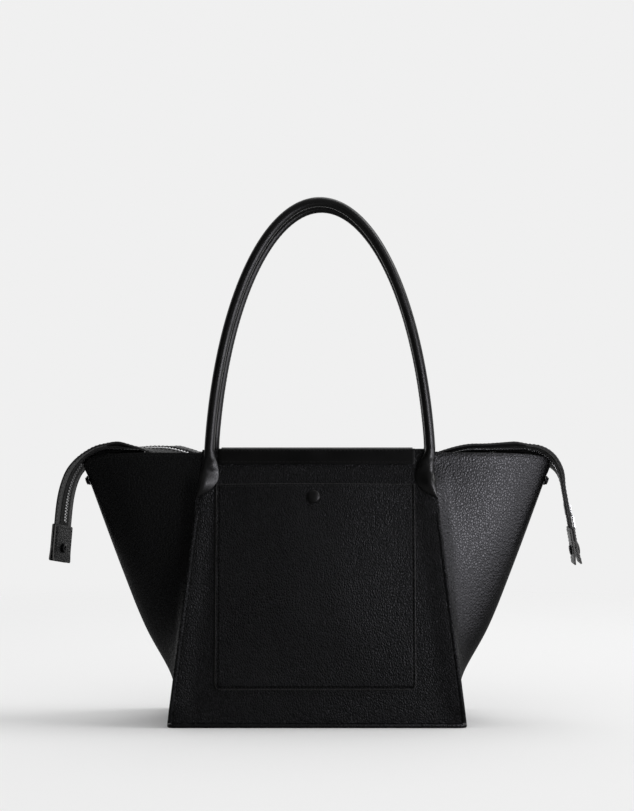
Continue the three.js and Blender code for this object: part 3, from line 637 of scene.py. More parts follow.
def makeFibre(name, dark, light, density):
    material, tree, shader, place = startFinish(name)
    marks = useGroup(tree, handlingMarks, Place=place, Density=density)
    cloud = mathNode(tree, "MULTIPLY", marks["Cloud"], 0.5)
    share = mathNode(tree, "MULTIPLY_ADD", marks["Scratch"], 0.5, cloud)
    setInputs(tree, shader, {
        "Base Color": mixColours(tree, share, grey(dark, 0.03), grey(light, 0.03)),
        "Roughness": spread(tree, share, 0.0, 1.0, 0.55, 0.8),
        "Normal": raiseBump(tree, share, 0.3, 0.1)})
    return material


# Pebbled leather: stretch, shine, pebbles in a metre, dark and light level, bump
panelLeather = makePebbled("panelLeather", (1.3, 1.0, 0.8), 0.18, 470, 0.003, 0.008, 0.7)
# The wing leather's base colour is set darker than the panel's: painted shade, set for the dim left wing
wingLeather = makePebbled("wingLeather", (1.1, 1.0, 0.85), 0.42, 400, 0.0015, 0.004, 0.34)
ribbonLeather = makePebbled("ribbonLeather", (1, 1, 1), 0.2, 400, 0.002, 0.005, 0.4)
# Smooth leather: density, dark and light level, roughness, shine
bandLeather = makeSmooth("bandLeather", 900, 0.0012, 0.003, (0.3, 0.4), 0.18)
handleLeather = makeSmooth("handleLeather", 700, 0.0014, 0.004, (0.27, 0.38), 0.5, (1, 1, 1.6))
capLeather = makeSmooth("capLeather", 1000, 0.0014, 0.0035, (0.3, 0.4), 0.3)
# Near-black finish for the pocket's stitch groove: painted shade in the groove
grooveShade = makeSmooth("grooveShade", 900, 0.0005, 0.001, (0.5, 0.6), 0.06)
cutEdge = makeFibre("cutEdge", 0.05, 0.12, 900)
# Dark painted edge for rims, also used as painted shade on the ribbon's underside over the wing
darkEdgeAndShade = makeFibre("darkEdgeAndShade", 0.006, 0.016, 900)
threadBlack = makeCloth("threadBlack", 9000, 0.002, 0.007, slant=1.0, rough=0.55)
liningCloth = makeCloth("liningCloth", 5200, 0.004, 0.012)
ribbonBacking = makeCloth("ribbonBacking", 6000, 0.05, 0.1)
zipTape = makeCloth("zipTape", 7000, 0.003, 0.01, slant=1.0)
zipSilver = makeMetal("zipSilver", (0.72, 0.72, 0.73, 1), (0.2, 0.38))
snapMetal = makeMetal("snapMetal", (0.03, 0.03, 0.031, 1), (0.3, 0.5))
snapSteel = makeMetal("snapSteel", (0.5, 0.5, 0.51, 1), (0.25, 0.42))
boardFibre = makeFibre("boardFibre", 0.03, 0.075, 300)
print("finishes ready")


# Body of the bag

body = {"baseHalf": 155, "topHalf": 120.5, "halfDepth": 75, "topHalfDepth": 30, "height": 286}
lean = math.atan2(body["halfDepth"] - body["topHalfDepth"], body["height"])
leanSin, leanCos = math.sin(lean), math.cos(lean)
panelLength = body["height"] / leanCos
toRear = Matrix.Rotation(math.pi, 4, "Z")
frontOut = (0, -leanCos, leanSin)


def smooth(value, low, high):
    share = min(max((value - low) / (high - low), 0), 1)
    return share * share * (3 - 2 * share)


# Rises over one stretch and falls again over another
def hump(value, rise, fall):
    return smooth(value, *rise) * (1 - smooth(value, *fall))


def blendTo(first, second, share):
    return first + (second - first) * share


def panelHalf(slope):
    return blendTo(body["baseHalf"], body["topHalf"], slope / panelLength)


def seamHalf(height):
    return blendTo(body["baseHalf"], body["topHalf"], height / body["height"])


# A point on the front panel: x, distance out of its face, distance up its slope
def onPanel(x, out, slope):
    return (x, -body["halfDepth"] - out * leanCos + slope * leanSin, out * leanSin + slope * leanCos)


# Share along an edge that gives the outer rim more columns: distance from the near end
def rimSpread(share, length, rim, rimShare):
    if share < rimShare:
        return rim * share / rimShare
    if share > 1 - rimShare:
        return length - rim * (1 - share) / rimShare
    return blendTo(rim, length - rim, (share - rimShare) / (1 - 2 * rimShare))


# Settles a front piece, and its twin turned to the rear
def settleBoth(front, finish, node=None):
    rear = copyPiece(front, front.name.replace("front", "rear"), toRear)
    for side, piece in (("front", front), ("rear", rear)):
        settle(piece, finish, "bag", [side + "_" + node] if node else ())
    return front, rear


panel = {
    "grid": (84, 72), "foot": 4.7, "leather": 2.0, "ridge": 4.2, "ridgeHeight": 1.3, "ridgeTop": 222,
    "flare": 3.0, "flareWidth": 26, "flareFoot": (4, 24), "flareTop": (250, 270), "rim": 9, "rimShare": 0.14,
    "threadInset": 6.2, "threadLift": 0.12, "threadRun": (9, 219),
}


# The face lifts a little towards its side seams
def panelRise(x, slope):
    inward = panelHalf(slope) - abs(x)
    lift = 1 - smooth(inward, panel["ridge"] + 1, panel["flareWidth"])
    return panel["flare"] * lift * hump(slope, panel["flareFoot"], panel["flareTop"])


def panelShape(across, up):
    slope = blendTo(panel["foot"], panelLength, up)
    half = panelHalf(slope)
    x = rimSpread(across, 2 * half, panel["rim"], panel["rimShare"]) - half
    inward = half - abs(x)
    ridgeShare = 1 - smooth(slope, panel["ridgeTop"] - 6, panel["ridgeTop"] + 4)
    middle = panel["ridge"] / 2
    rise = panelRise(x, slope)
    if inward < panel["ridge"]:
        bow = math.sqrt(max(0, 1 - ((inward - middle) / middle) ** 2))
        rise = rise + panel["ridgeHeight"] * bow * ridgeShare
    return onPanel(x, rise, slope)


def makePanels():
    front = gridPiece("frontPanel", *panel["grid"], panelShape)
    thicken(front, panel["leather"])
    settleBoth(front, panelLeather, "panel")
    lines = []
    for sign in (-1, 1):
        line = []
        for slope in np.linspace(*panel["threadRun"], 30):
            x = panelHalf(slope) - panel["threadInset"]
            line.append(onPanel(sign * x, panelRise(x, slope) + panel["threadLift"], slope))
        lines.append((line, frontOut))
    settleBoth(stitchRow("frontSeamThread", lines), threadBlack)


base = {
    "size": (310, 150), "corner": 7, "height": 4, "edge": 1.1,
    "liningGrid": (48, 24), "liningHalf": (141, 65), "liningTop": 7.7, "cloth": 0.5, "ripple": 0.12,
}


def clearMarks(piece):
    for part in (piece.data.vertices, piece.data.edges, piece.data.polygons):
        part.foreach_set("select", [False] * len(part))


# Plate with rounded corners, standing edges bevelled in edit mode
def cornerPlate(name, length, width, low, high, corner, edge):
    deselectAll()
    size = (length * mm, width * mm, (high - low) * mm)
    bpy.ops.mesh.primitive_cube_add(size=1, location=(0, 0, (low + high) / 2 * mm), scale=size)
    piece = nameIt(name)
    bpy.ops.object.transform_apply(location=True, rotation=True, scale=True)
    bpy.context.tool_settings.mesh_select_mode = (False, True, False)
    clearMarks(piece)
    for line in piece.data.edges:
        a, b = (piece.data.vertices[i].co for i in line.vertices)
        line.select = abs(a.z - b.z) > 0.5 * (high - low) * mm
    bpy.ops.object.mode_set(mode="EDIT")
    bpy.ops.mesh.bevel(offset=corner * mm, segments=6, affect="EDGES")
    bpy.ops.object.mode_set(mode="OBJECT")
    bpy.context.tool_settings.mesh_select_mode = (True, False, False)
    if edge:
        roundEdges(piece, edge, 50, 3)
    return piece


def baseLiningShape(across, up):
    length, width = base["liningHalf"]
    ripple = base["ripple"] * math.sin(across * 23) * math.sin(up * 11)
    return (blendTo(-length, length, across), blendTo(-width, width, up), base["liningTop"] + ripple)


def makeBase():
    foot = cornerPlate("basePanel", *base["size"], 0, base["height"], base["corner"], base["edge"])
    settle(foot, wingLeather, "bag", ["base_panel"])
    cloth = gridPiece("baseLining", *base["liningGrid"], baseLiningShape)
    thicken(cloth, base["cloth"])
    settle(cloth, liningCloth, "bag", ["base_lining"])


lining = {
    "grid": (60, 60), "foot": 8, "top": 284, "sideInset": 10.2, "inside": 2.7, "cloth": 0.5, "ripple": 0.25,
}


def liningHalf(slope):
    return panelHalf(slope) - lining["sideInset"]


def panelLiningShape(across, up):
    slope = blendTo(lining["foot"], lining["top"], up)
    half = liningHalf(slope)
    ripple = lining["ripple"] * math.sin(across * 31) * math.sin(up * 17 + across * 5)
    return onPanel(blendTo(half, -half, across), -lining["inside"] - lining["ripple"] + ripple * 0.5, slope)


def makePanelLinings():
    front = gridPiece("frontLining", *lining["grid"], panelLiningShape)
    thicken(front, lining["cloth"], 1)
    pair = settleBoth(front, liningCloth, "lining")


band = {
    "half": 103, "outer": 1.55, "inner": -4.8, "outerFoot": 274.2, "innerFoot": 268.5, "top": 289.4,
    "columns": 60, "crown": 1.7, "leather": 1.2, "edgeRound": 0.35,
    "threadFoot": 2.2, "threadTop": 1.2, "threadEnd": 2,
}


def bandSection():
    points = [(band["outer"], s) for s in np.linspace(band["outerFoot"], band["top"], 8)]
    middle, half = (band["outer"] + band["inner"]) / 2, (band["outer"] - band["inner"]) / 2
    for angle in np.linspace(0, math.pi, 13)[1:-1]:
        points.append((middle + half * math.cos(angle), band["top"] + band["crown"] * math.sin(angle)))
    points += [(band["inner"], s) for s in np.linspace(band["top"], band["innerFoot"], 8)]
    return points


def makeBands():
    section = bandSection()
    last = len(section) - 1

    def bandShape(across, up):
        out, slope = section[int(round(up * last))]
        return onPanel(blendTo(-band["half"], band["half"], across), out, slope)

    front = gridPiece("frontTopBand", band["columns"], last, bandShape)
    thicken(front, band["leather"])
    roundEdges(front, band["edgeRound"])
    settleBoth(front, bandLeather, "top_band")
    end = band["half"] - band["threadEnd"]
    rows = []
    for slope in (band["outerFoot"] + band["threadFoot"], band["top"] - band["threadTop"]):
        rows.append(([onPanel(x, band["outer"], slope) for x in (-end, end)], frontOut))
    settleBoth(stitchRow("frontBandThread", rows), threadBlack)


pocket = {
    "grid": (84, 84), "left": -105.5, "right": 102.5, "foot": 39, "top": 253, "corner": 6, "rim": 10,
    "rimShare": 0.14, "edgeOut": 2.3, "fullness": 4.1, "slack": 0.5, "dent": 0.25, "leather": 1.7,
    "edgeRound": 0.7, "stitchInset": 2.7, "groove": 0.55, "grooveHalf": 0.6, "snap": (-3.7, 239),
    "crownSide": 85, "crownFoot": 90, "slackSide": 80, "slackRun": 60,
}


# Distance in from the nearest sewn edge of the pocket
def pocketInset(x, slope):
    return min(x - pocket["left"], pocket["right"] - x, slope - pocket["foot"])


def pocketOut(x, slope):
    side = min(x - pocket["left"], pocket["right"] - x)
    rise = slope - pocket["foot"]
    height = pocket["top"] - pocket["foot"]
    puff = smooth(side, 0, pocket["crownSide"]) * smooth(rise, 0, pocket["crownFoot"])
    slack = smooth(rise, height - pocket["slackRun"], height) * smooth(side, 0, pocket["slackSide"])
    dent = pocket["dent"] * math.sin((x - pocket["left"]) / 21 + rise / 37) * puff
    off = (pocketInset(x, slope) - pocket["stitchInset"]) / pocket["grooveHalf"]
    pressed = pocket["groove"] * math.exp(-off ** 2)
    out = pocket["edgeOut"] + pocket["fullness"] * puff + pocket["slack"] * slack + dent - pressed
    return out + panelRise(x, slope)


def pocketShape(across, up):
    width, height = pocket["right"] - pocket["left"], pocket["top"] - pocket["foot"]
    x = rimSpread(across, width, pocket["rim"], pocket["rimShare"])
    s = rimSpread(up, height, pocket["rim"], pocket["rimShare"])
    out = pocketOut(pocket["left"] + x, pocket["foot"] + s)
    corner = pocket["corner"]
    if s < corner:
        inset = corner - math.sqrt(corner ** 2 - (corner - s) ** 2)
        x = blendTo(inset, width - inset, x / width)
    return onPanel(pocket["left"] + x, out, pocket["foot"] + s)


# Points on the pocket's face
def pocketLine(places):
    return [onPanel(x, pocketOut(x, s), s) for x, s in places], frontOut


def makePocket():
    sheet = gridPiece("pocketPanel", *pocket["grid"], pocketShape)
    finishes = [panelLeather, cutEdge, grooveShade]
    giveFinishes(sheet, finishes)
    thicken(sheet, pocket["leather"], material_offset_rim=1)
    roundEdges(sheet, pocket["edgeRound"], 60, material=1)
    # Faces along the stitch groove take the darker finish as painted shade
    for face in sheet.data.polygons:
        x, y, z = face.center / mm
        inset = pocketInset(x, (y + body["halfDepth"]) * leanSin + z * leanCos)
        if face.material_index == 0 and abs(inset - pocket["stitchInset"]) < pocket["grooveHalf"]:
            face.material_index = 2
    settle(sheet, finishes, "bag", ["pocket_panel"])
    inset = pocket["stitchInset"]
    left, right = pocket["left"] + inset, pocket["right"] - inset
    foot, top = pocket["foot"] + inset, pocket["top"] - inset
    lines = [pocketLine([(x, s) for s in np.linspace(foot + 4, top, 50)]) for x in (left, right)]
    lines += [pocketLine([(x, s) for x in np.linspace(left + 3, right - 3, 50)]) for s in (foot, top)]
    settle(stitchRow("pocketThread", lines), threadBlack, "bag")


# Frame on the front panel whose +Z points out of the leather
def panelFrame(x, slope):
    out, side = Vector(frontOut), Vector((1, 0, 0))
    return standAt(onPanel(x, 0, slope), side, out.cross(side), out)


snapCap = {"radius": 7, "seat": 6.75, "dome": 2.7, "tabDome": 2.6, "skirt": 0.6, "sides": 32}


def capProfile(seat, dome):
    radius, skirt = snapCap["radius"], snapCap["skirt"]
    rows = [(0, seat), (radius - 0.5, seat), (radius, seat + 0.35)]
    for angle in np.linspace(0.1, math.pi / 2, 7):
        width = radius * math.cos(angle) ** 0.8 if angle < 1.5 else 0
        rows.append((width, seat + skirt + (dome - skirt) * math.sin(angle)))
    return rows


def makePocketSnap():
    cap = turnedPiece("pocketSnapCap", capProfile(snapCap["seat"], snapCap["dome"]), snapCap["sides"])
    moveMesh(cap, panelFrame(*pocket["snap"]))
    settle(cap, capLeather, "bag", ["pocket_snap_cap"], 60)


makePanels()
makeBase()
makePanelLinings()
makeBands()
makePocket()
makePocketSnap()
print("body ready")


# Wings that fold out at the sides

wing = {
    "foot": 4.4, "top": 283, "tipDrop": 16, "leather": 1.8, "flange": 5.5, "flangeShare": 0.03,
    "seamInset": 3.5, "behindPanel": 2.3, "noseFoot": 45, "noseTop": 14, "bulge": 6, "sway": 1.3,
    "flareTop": (247, 267), "studHeight": 253, "hem": 6.5, "hemRise": 0.45, "edgeRound": 0.4,
    "threadInset": 3.4, "threadLift": 0.1, "liningInside": 2.4, "cloth": 0.5,
    "grid": (96, 64), "liningGrid": (72, 48),
    "reach": [(-3.6, 0), (-7.2, 25), (4.6875, 47.5), (37.5, 95), (72.5, 160.36), (125, 267)],
    "stud": [(0, -1.6), (1.5, -1.6), (1.5, 0.15), (4.9, 0.15), (5.1, 0.5), (5.0, 1.2), (4.5, 1.7),
             (4.1, 2.0), (3.9, 2.4), (4.0, 2.9), (3.6, 3.4), (2.2, 3.7), (0, 3.8)],
}


# Smooth line through (reach, height) points, with knots spaced by the square root of each leg
def wingReachLine():
    points = [np.array(p, float) for p in wing["reach"]]
    points = [2 * points[0] - points[1]] + points + [2 * points[-1] - points[-2]]
    line = []
    for k in range(1, len(points) - 2):
        a, b, c, d = points[k - 1:k + 3]
        before, here, after = (math.sqrt(np.linalg.norm(q - p)) for p, q in ((a, b), (b, c), (c, d)))
        leave = ((b - a) / before - (c - a) / (before + here) + (c - b) / here) * here
        arrive = ((c - b) / here - (d - b) / (here + after) + (d - c) / after) * here
        for t in np.linspace(0, 1, 24, endpoint=k == len(points) - 3):
            line.append(b + leave * t + (3 * (c - b) - 2 * leave - arrive) * t ** 2
                        + (2 * (b - c) + leave + arrive) * t ** 3)
    return np.array(line)


reachLine = wingReachLine()


def noseAt(height):
    tip = wing["reach"][-1]
    fold = wing["reach"][3]
    if height > tip[1]:
        reach = tip[0] + (height - tip[1]) * (tip[0] - fold[0]) / (tip[1] - fold[1])
    else:
        reach = np.interp(height, reachLine[:, 1], reachLine[:, 0])
    return seamHalf(height) + reach


# Section of the wing at a height, from its seam (0) to its nose (1), in plan
def wingPlan(height, share):
    depth = -body["halfDepth"] + height * math.tan(lean) + wing["behindPanel"] / leanCos
    seam = np.array([seamHalf(height) - wing["seamInset"], depth])
    nose = np.array([noseAt(height), 0.0])
    chord = nose - seam
    turn = -math.radians(wing["bulge"])
    turned = np.array([
        chord[0] * math.cos(turn) - chord[1] * math.sin(turn),
        chord[0] * math.sin(turn) + chord[1] * math.cos(turn)])
    roundness = min(blendTo(wing["noseFoot"], wing["noseTop"], height / wing["top"]), -depth * 0.7)
    near, far = seam + 0.4 * turned, np.array([nose[0], -roundness])
    t, r = share, 1 - share
    return r ** 3 * seam + 3 * r * r * t * near + 3 * r * t * t * far + t ** 3 * nose


# across runs 0 to 1 from the front seam over the nose to the rear seam
def wingPoint(across, up, inside, hemmed):
    halfShare = 1 - abs(2 * across - 1)
    edge = wing["top"] - wing["tipDrop"] * halfShare ** 4.5
    height = blendTo(wing["foot"], edge, up ** 1.15)
    plan = wingPlan(height, halfShare)
    ahead, behind = wingPlan(height, min(halfShare + 0.01, 1)), wingPlan(height, max(halfShare - 0.01, 0))
    along = (ahead - behind) / np.linalg.norm(ahead - behind)
    out = np.array([along[1], -along[0]])
    calm = math.sin(math.pi * halfShare) * smooth(height, 20, 120)
    sway = wing["sway"] * calm * (math.sin(halfShare * 5.2 + height / 48 + 0.6) - 0.5)
    hem = wing["hemRise"] * smooth(height, edge - wing["hem"] - 0.8, edge - wing["hem"]) if hemmed else 0
    plan = plan + out * (sway + hem - inside)
    seamShare = 1 - smooth(halfShare, 0, 0.14)
    plan[1] -= panel["flare"] * seamShare * hump(height, panel["flareFoot"], wing["flareTop"])
    y = plan[1] if across <= 0.5 else -plan[1]
    return np.array([plan[0], y, height])


def wingShape(inside, hemmed):
    flangeShare = wing["flangeShare"]

    def shape(across, up):
        if across < flangeShare or across > 1 - flangeShare:
            start = wingPoint(0, up, inside, hemmed)
            slide = min(across, 1 - across) / flangeShare
            y = start[1] if across < 0.5 else -start[1]
            return (start[0] - wing["flange"] * (1 - slide), y, start[2])
        return wingPoint((across - flangeShare) / (1 - 2 * flangeShare), up, inside, hemmed)

    return shape


def wingOut(point):
    step = 0.5
    height = point[2]
    slope = (noseAt(height + step) - noseAt(height - step)) / (2 * step)
    side = 1 if point[1] > 0 else -1
    return (0.42, side * 0.86, -0.42 * slope)


def studFrame():
    height = wing["studHeight"]
    tilt = math.atan2(noseAt(height + 1) - noseAt(height - 1), 2)
    out = Vector((math.cos(tilt), 0, -math.sin(tilt)))
    side = Vector((0, 1, 0))
    return standAt((noseAt(height), 0, height), side.cross(out), side, out)


# Stitch lines along the hem, one on each side of the nose
def hemLines():
    lines = []
    for first, last in ((0.02, 0.485), (0.515, 0.98)):
        row = []
        for across in np.linspace(first, last, 60):
            top = wingPoint(across, 1, -wing["threadLift"], True)
            below = wingPoint(across, 0.97, -wing["threadLift"], True)
            row.append(top + (below - top) / np.linalg.norm(below - top) * wing["threadInset"])
        lines.append((row, wingOut))
    return lines


def makeWings():
    shell = gridPiece("rightWing", *wing["grid"], wingShape(0, True))
    finishes = [wingLeather, darkEdgeAndShade]
    giveFinishes(shell, finishes)
    thicken(shell, wing["leather"], material_offset_rim=1)
    roundEdges(shell, wing["edgeRound"], 60)
    cloth = gridPiece("rightWingLining", *wing["liningGrid"], wingShape(wing["liningInside"], False))
    thicken(cloth, wing["cloth"])
    stud = turnedPiece("rightWingStud", wing["stud"])
    moveMesh(stud, studFrame())
    right = [shell, cloth, stud, stitchRow("rightWingThread", hemLines())]
    left = [copyPiece(p, p.name.replace("right", "left"), toRear) for p in right]
    for side, (shell, cloth, stud, thread) in (("right", right), ("left", left)):
        settle(shell, finishes, "bag", [side + "_wing"], 50)
        settle(cloth, liningCloth, "bag", [side + "_wing_lining"], 50)
        settle(stud, snapMetal, "bag", [side + "_wing_stud"], 50)
        settle(thread, threadBlack, "bag", angle=50)


makeWings()
print("wings ready")


# Handles: each one is a rolled sleeve that flattens into a leaf at both ends

handle = {
    "radius": 5.3, "halfSpan": 115.9, "rise": 257.6, "shoulder": 52, "hingeSlope": panelLength + 1.6,
    "seat": 5.9, "leafLength": 53, "leafWidth": 21, "leafEdge": 1.8, "leafLift": 0.3, "leafTurn": 6.0,
    "crescent": 21, "neck": (0.42, 1.0), "crease": 0.28, "fold": 0.25, "seamDepth": 0.55, "seamWidth": 0.2,
    "leafRings": 26, "archRings": 96, "sides": 32, "threadPitch": 4.6, "bendLow": 0.2765, "bendHigh": 0.3025,
}
archRise = handle["rise"] + handle["shoulder"]
archHalf = handle["halfSpan"] / math.sqrt(1 - (handle["shoulder"] / archRise) ** 2)
archStart = math.asin(handle["shoulder"] / archRise)


# Ring of the leaf on one side (sign) of the panel; share is 0 at its foot and 1 at the hinge
def leafRing(sign, shift, share):
    radius = handle["radius"]
    slope = blendTo(handle["hingeSlope"] - handle["leafLength"], handle["hingeSlope"], share)
    hingeX = handle["halfSpan"] + sign * shift
    neck = smooth(share, *handle["neck"])
    rounded = math.sin(min(1, share * handle["leafLength"] / handle["crescent"]) * math.pi / 2) ** 0.8
    seam = panelHalf(slope)
    outer = blendTo(seam, hingeX + radius, neck)
    inner = blendTo(seam - blendTo(0.6, handle["leafWidth"], rounded), hingeX - radius, neck)
    thick = blendTo(handle["leafEdge"], 2 * radius, neck) * blendTo(0.75, 1, rounded)
    lift = blendTo(handle["leafLift"], handle["seat"] - radius, neck)
    crease = handle["crease"] * math.sin(share * 34) * hump(share, (0.35, 0.6), (0.8, 1))
    ring = []
    for k in range(handle["sides"]):
        angle = 2 * math.pi * k / handle["sides"]
        side, front = math.cos(angle), math.sin(angle)
        face = max(front, 0)
        flat = lift + (thick * (0.42 + 0.58 * front ** 0.7) if front > 0.01 else 0)
        if abs(front) <= 0.01:
            flat = lift + thick * 0.2
        full = lift + thick / 2 * (1 + front)
        fold = handle["fold"] * math.sin(side * 4 + share * 9) * (1 - neck) * rounded * face
        turned = handle["leafTurn"] * (1 - side) / 2 * face * (1 - neck) * rounded
        x = (inner + outer) / 2 - side * (outer - inner) / 2
        out = blendTo(flat, full, smooth(neck, 0.1, 0.9)) + (crease + fold) * face + turned
        ring.append(onPanel(sign * x, out + panelRise(x, slope), slope))
    return ring


def archRing(shift, share):
    angle = blendTo(math.pi - archStart, archStart, share)
    place = np.array([archHalf * math.cos(angle), 0, archRise * math.sin(angle) - handle["shoulder"]])
    along = np.array([archHalf * math.sin(angle), 0, -archRise * math.cos(angle)])
    along = along / np.linalg.norm(along)
    inner = np.array([along[2], 0, -along[0]])
    hinge = np.array(onPanel(shift, handle["seat"], handle["hingeSlope"]))
    front = np.array([0, -1, 0])
    ring = []
    for k in range(handle["sides"]):
        turn = 2 * math.pi * k / handle["sides"]
        apart = min(turn, 2 * math.pi - turn)
        radius = handle["radius"] - handle["seamDepth"] * math.exp(-(apart / handle["seamWidth"]) ** 2)
        ring.append(hinge + place + (inner * math.cos(turn) + front * math.sin(turn)) * radius)
    return ring


def handleRings(shift):
    leafShares = np.linspace(0, 1, handle["leafRings"]) ** 0.85
    rings = [leafRing(-1, shift, share) for share in leafShares]
    archShares = np.linspace(0, 1, handle["archRings"])
    rings += [archRing(shift, share) for share in archShares[1:-1]]
    rings += [leafRing(1, shift, share) for share in leafShares[::-1]]
    return rings


# The entry of ways whose point is nearest to a spot
def nearestOf(points, ways):
    def pick(spot):
        return ways[np.argmin(np.linalg.norm(points - spot, axis=1))]
    return pick


def makeHandle(side, shift):
    strap = skinRings(side + "Handle", handleRings(shift))
    seam = [archRing(shift, share) for share in np.linspace(0.03, 0.97, 160)]
    line = [ring[0] for ring in seam]
    centres = np.array([np.mean(ring, axis=0) for ring in seam])
    centreAt = nearestOf(centres, centres)
    rows = [(line, lambda spot: spot - centreAt(spot))]
    thread = stitchRow(side + "HandleThread", rows, handle["threadPitch"])
    if side == "rear":
        moveMesh(strap, toRear)
        moveMesh(thread, toRear)
    joint = ("bag", side + "_handle", (0, 0, handle["bendLow"]), (0, 0, handle["bendHigh"]))
    parts = ("handle_sleeve", "handle_core", "left_handle_tab", "right_handle_tab")
    settle(strap, handleLeather, joint, [side + "_" + part for part in parts], 50)
    settle(thread, threadBlack, joint)


makeHandle("front", 3)
makeHandle("rear", -5)
print("handles ready")


# Zip ribbon: hinged leaves over the middle, a ramp over each wing and a tab that hangs from it

ribbon = {
    "height": 273, "rise": 15.0, "start": 95.6, "rampLength": 72, "end": 218.892, "gap": 0.9,
    "tilt": 10, "tipRun": 34, "twistLength": 68, "trailSteps": 400, "droop": 3.4, "ripple": 0.35,
    "tiltRun": (0, 0.32), "earlyRun": (0.62, 1), "tipSag": ((-12, 8), (20, 55)),
    "mouthSag": ((10, 40), (70, 95)), "leftSag": ((50, 72), (98, 114)), "leftSagBy": 1.7,
    # The reach of the painted shade under the ribbon over the wing is set below
    "bridgeShadeTo": 222, "stripTop": 1.0, "thickness": 2.0, "slotHalf": 6.0, "half": 20.0, "edgeRound": 0.35,
    "leafHalf": 95.0, "leafRoot": 26.53, "leafTapeEdge": 0.35,
    "leafThread": (-8.0, -18.5), "leafThreadEnd": 3,
    "tapeTop": -1.3, "tapeHalf": 10.0, "coverLength": 39.0, "coverPocket": 13.4,
    "stripColumns": 110, "leafColumns": 90, "stripRows": 8, "tapeGrid": (100, 4), "leafTapeGrid": (80, 4),
    "threadPitch": 4.4, "threadInset": (2.0, 12.2), "bendStart": 0.2045, "bendEnd": 0.2365,
}
ribbonLevel = ribbon["end"] - ribbon["start"]
# The last finish is the dark painted edge of the rims, and also painted shade on the ribbon's underside over
# the wing
ribbonFinishes = [ribbonLeather, ribbonBacking, darkEdgeAndShade]
tabs = {
    "left": {"bend": 35, "ease": 2, "turn": 85, "fall": 43, "early": 1.0, "tip": 20, "twist": 18},
    "right": {"bend": 42, "ease": 1, "turn": 80, "fall": 90, "early": 0.5, "tip": -36, "twist": 1.5},
}


def tabAlong(tab, past):
    ahead = 1 - min(past / tab["bendLength"], 1)
    pitch = math.radians(tab["turn"]) * (1 - ahead ** tab["ease"])
    return np.array([math.cos(pitch), 0, -math.sin(pitch)])


# Points at even steps down the bend of a tab
def bendTrail(tab):
    stride = tab["bendLength"] / ribbon["trailSteps"]
    trail = [np.array([ribbon["end"] + ribbon["gap"], 0, ribbon["height"] + ribbon["rise"]])]
    for k in range(ribbon["trailSteps"]):
        trail.append(trail[-1] + tabAlong(tab, (k + 0.5) * stride) * stride)
    return np.array(trail)


for tab in tabs.values():
    tab["bendLength"] = tab["ease"] * math.radians(tab["turn"]) * tab["bend"]
    tab["trail"] = bendTrail(tab)


# Origin, along, across and up of the ribbon at a run in millimetres from the start of its ramp
def ribbonFrame(side, run):
    tab = tabs[side]
    past = run - ribbonLevel - ribbon["gap"]
    if past < 0:
        climb = min(run / ribbon["rampLength"], 1)
        rise = ribbon["rise"] * climb * climb * (3 - 2 * climb)
        slope = ribbon["rise"] * 6 * climb * (1 - climb) / ribbon["rampLength"]
        origin = np.array([ribbon["start"] + run, 0, ribbon["height"] + rise])
        along = np.array([1, 0, slope]) / math.hypot(1, slope)
        share = run / ribbonLevel
        early = tab["early"] * tab["tip"]
        tilt = -ribbon["tilt"] * smooth(share, *ribbon["tiltRun"])
        tilt = blendTo(tilt, early, smooth(share, *ribbon["earlyRun"]))
    else:
        along = tabAlong(tab, past)
        place = min(past / tab["bendLength"], 1) * ribbon["trailSteps"]
        step = min(int(place), ribbon["trailSteps"] - 1)
        origin = blendTo(tab["trail"][step], tab["trail"][step + 1], place - step)
        origin = origin + along * max(past - tab["bendLength"], 0)
        tip = tab["tip"] * blendTo(tab["early"], 1, smooth(past, 0, ribbon["tipRun"]))
        tilt = blendTo(tip, tab["twist"], smooth(past, 0, ribbon["twistLength"]))
    tilt = math.radians(tilt)
    flatUp = np.cross(along, (0, 1, 0))
    across = np.array([0, math.cos(tilt), 0]) + flatUp * math.sin(tilt)
    return origin, along, across, np.cross(along, across)


def ribbonLength(side):
    return ribbonLevel + ribbon["gap"] + tabs[side]["bendLength"] + tabs[side]["fall"]


# Run at which strips and tape end, inside the folded cover
def stripEnd(side):
    return ribbonLength(side) - ribbon["coverLength"] + ribbon["coverPocket"]


# The leather sags at its edges over the wing tip, and its lower edge dips into the wing's mouth
def edgeDroop(side, run, acrossBy):
    past = run - ribbonLevel
    sag = hump(past, *ribbon["tipSag"])
    if acrossBy > 0:
        sag = sag + hump(run, *ribbon["mouthSag"])
    elif side == "left":
        sag = sag + ribbon["leftSagBy"] * hump(run, *ribbon["leftSag"])
    return ribbon["droop"] * (acrossBy / ribbon["half"]) ** 2 * sag


def ribbonPoint(side, run, acrossBy, upBy):
    origin, along, across, up = ribbonFrame(side, run)
    return origin + across * acrossBy + up * (upBy - edgeDroop(side, run, acrossBy))


def ribbonJoint(side):
    sign = 1 if side == "right" else -1
    return ("bag", side + "_tab", (sign * ribbon["bendStart"], 0, 0), (sign * ribbon["bendEnd"], 0, 0))


def toWorld(piece, side):
    if side == "left":
        moveMesh(piece, toRear)
    return piece


# Local front of the left ribbon is the world's rear
def worldEdge(side, edge):
    return edge if side == "right" else {"front": "rear", "rear": "front"}[edge]


def stripSurface(side, inner, outer, endRun):
    def shape(along, across):
        run = endRun * along
        place = blendTo(inner, outer, across)
        soft = ribbon["ripple"] * math.sin(run / 17 + place / 9) * math.sin(math.pi * across)
        return ribbonPoint(side, run, place, ribbon["stripTop"] + soft * smooth(run, 8, 40))
    return shape


def layStrip(name, surface, columns):
    strip = gridPiece(name, columns, ribbon["stripRows"], surface)
    giveFinishes(strip, ribbonFinishes)
    thicken(strip, ribbon["thickness"], material_offset=1, material_offset_rim=2)
    roundEdges(strip, ribbon["edgeRound"], 60)
    return strip


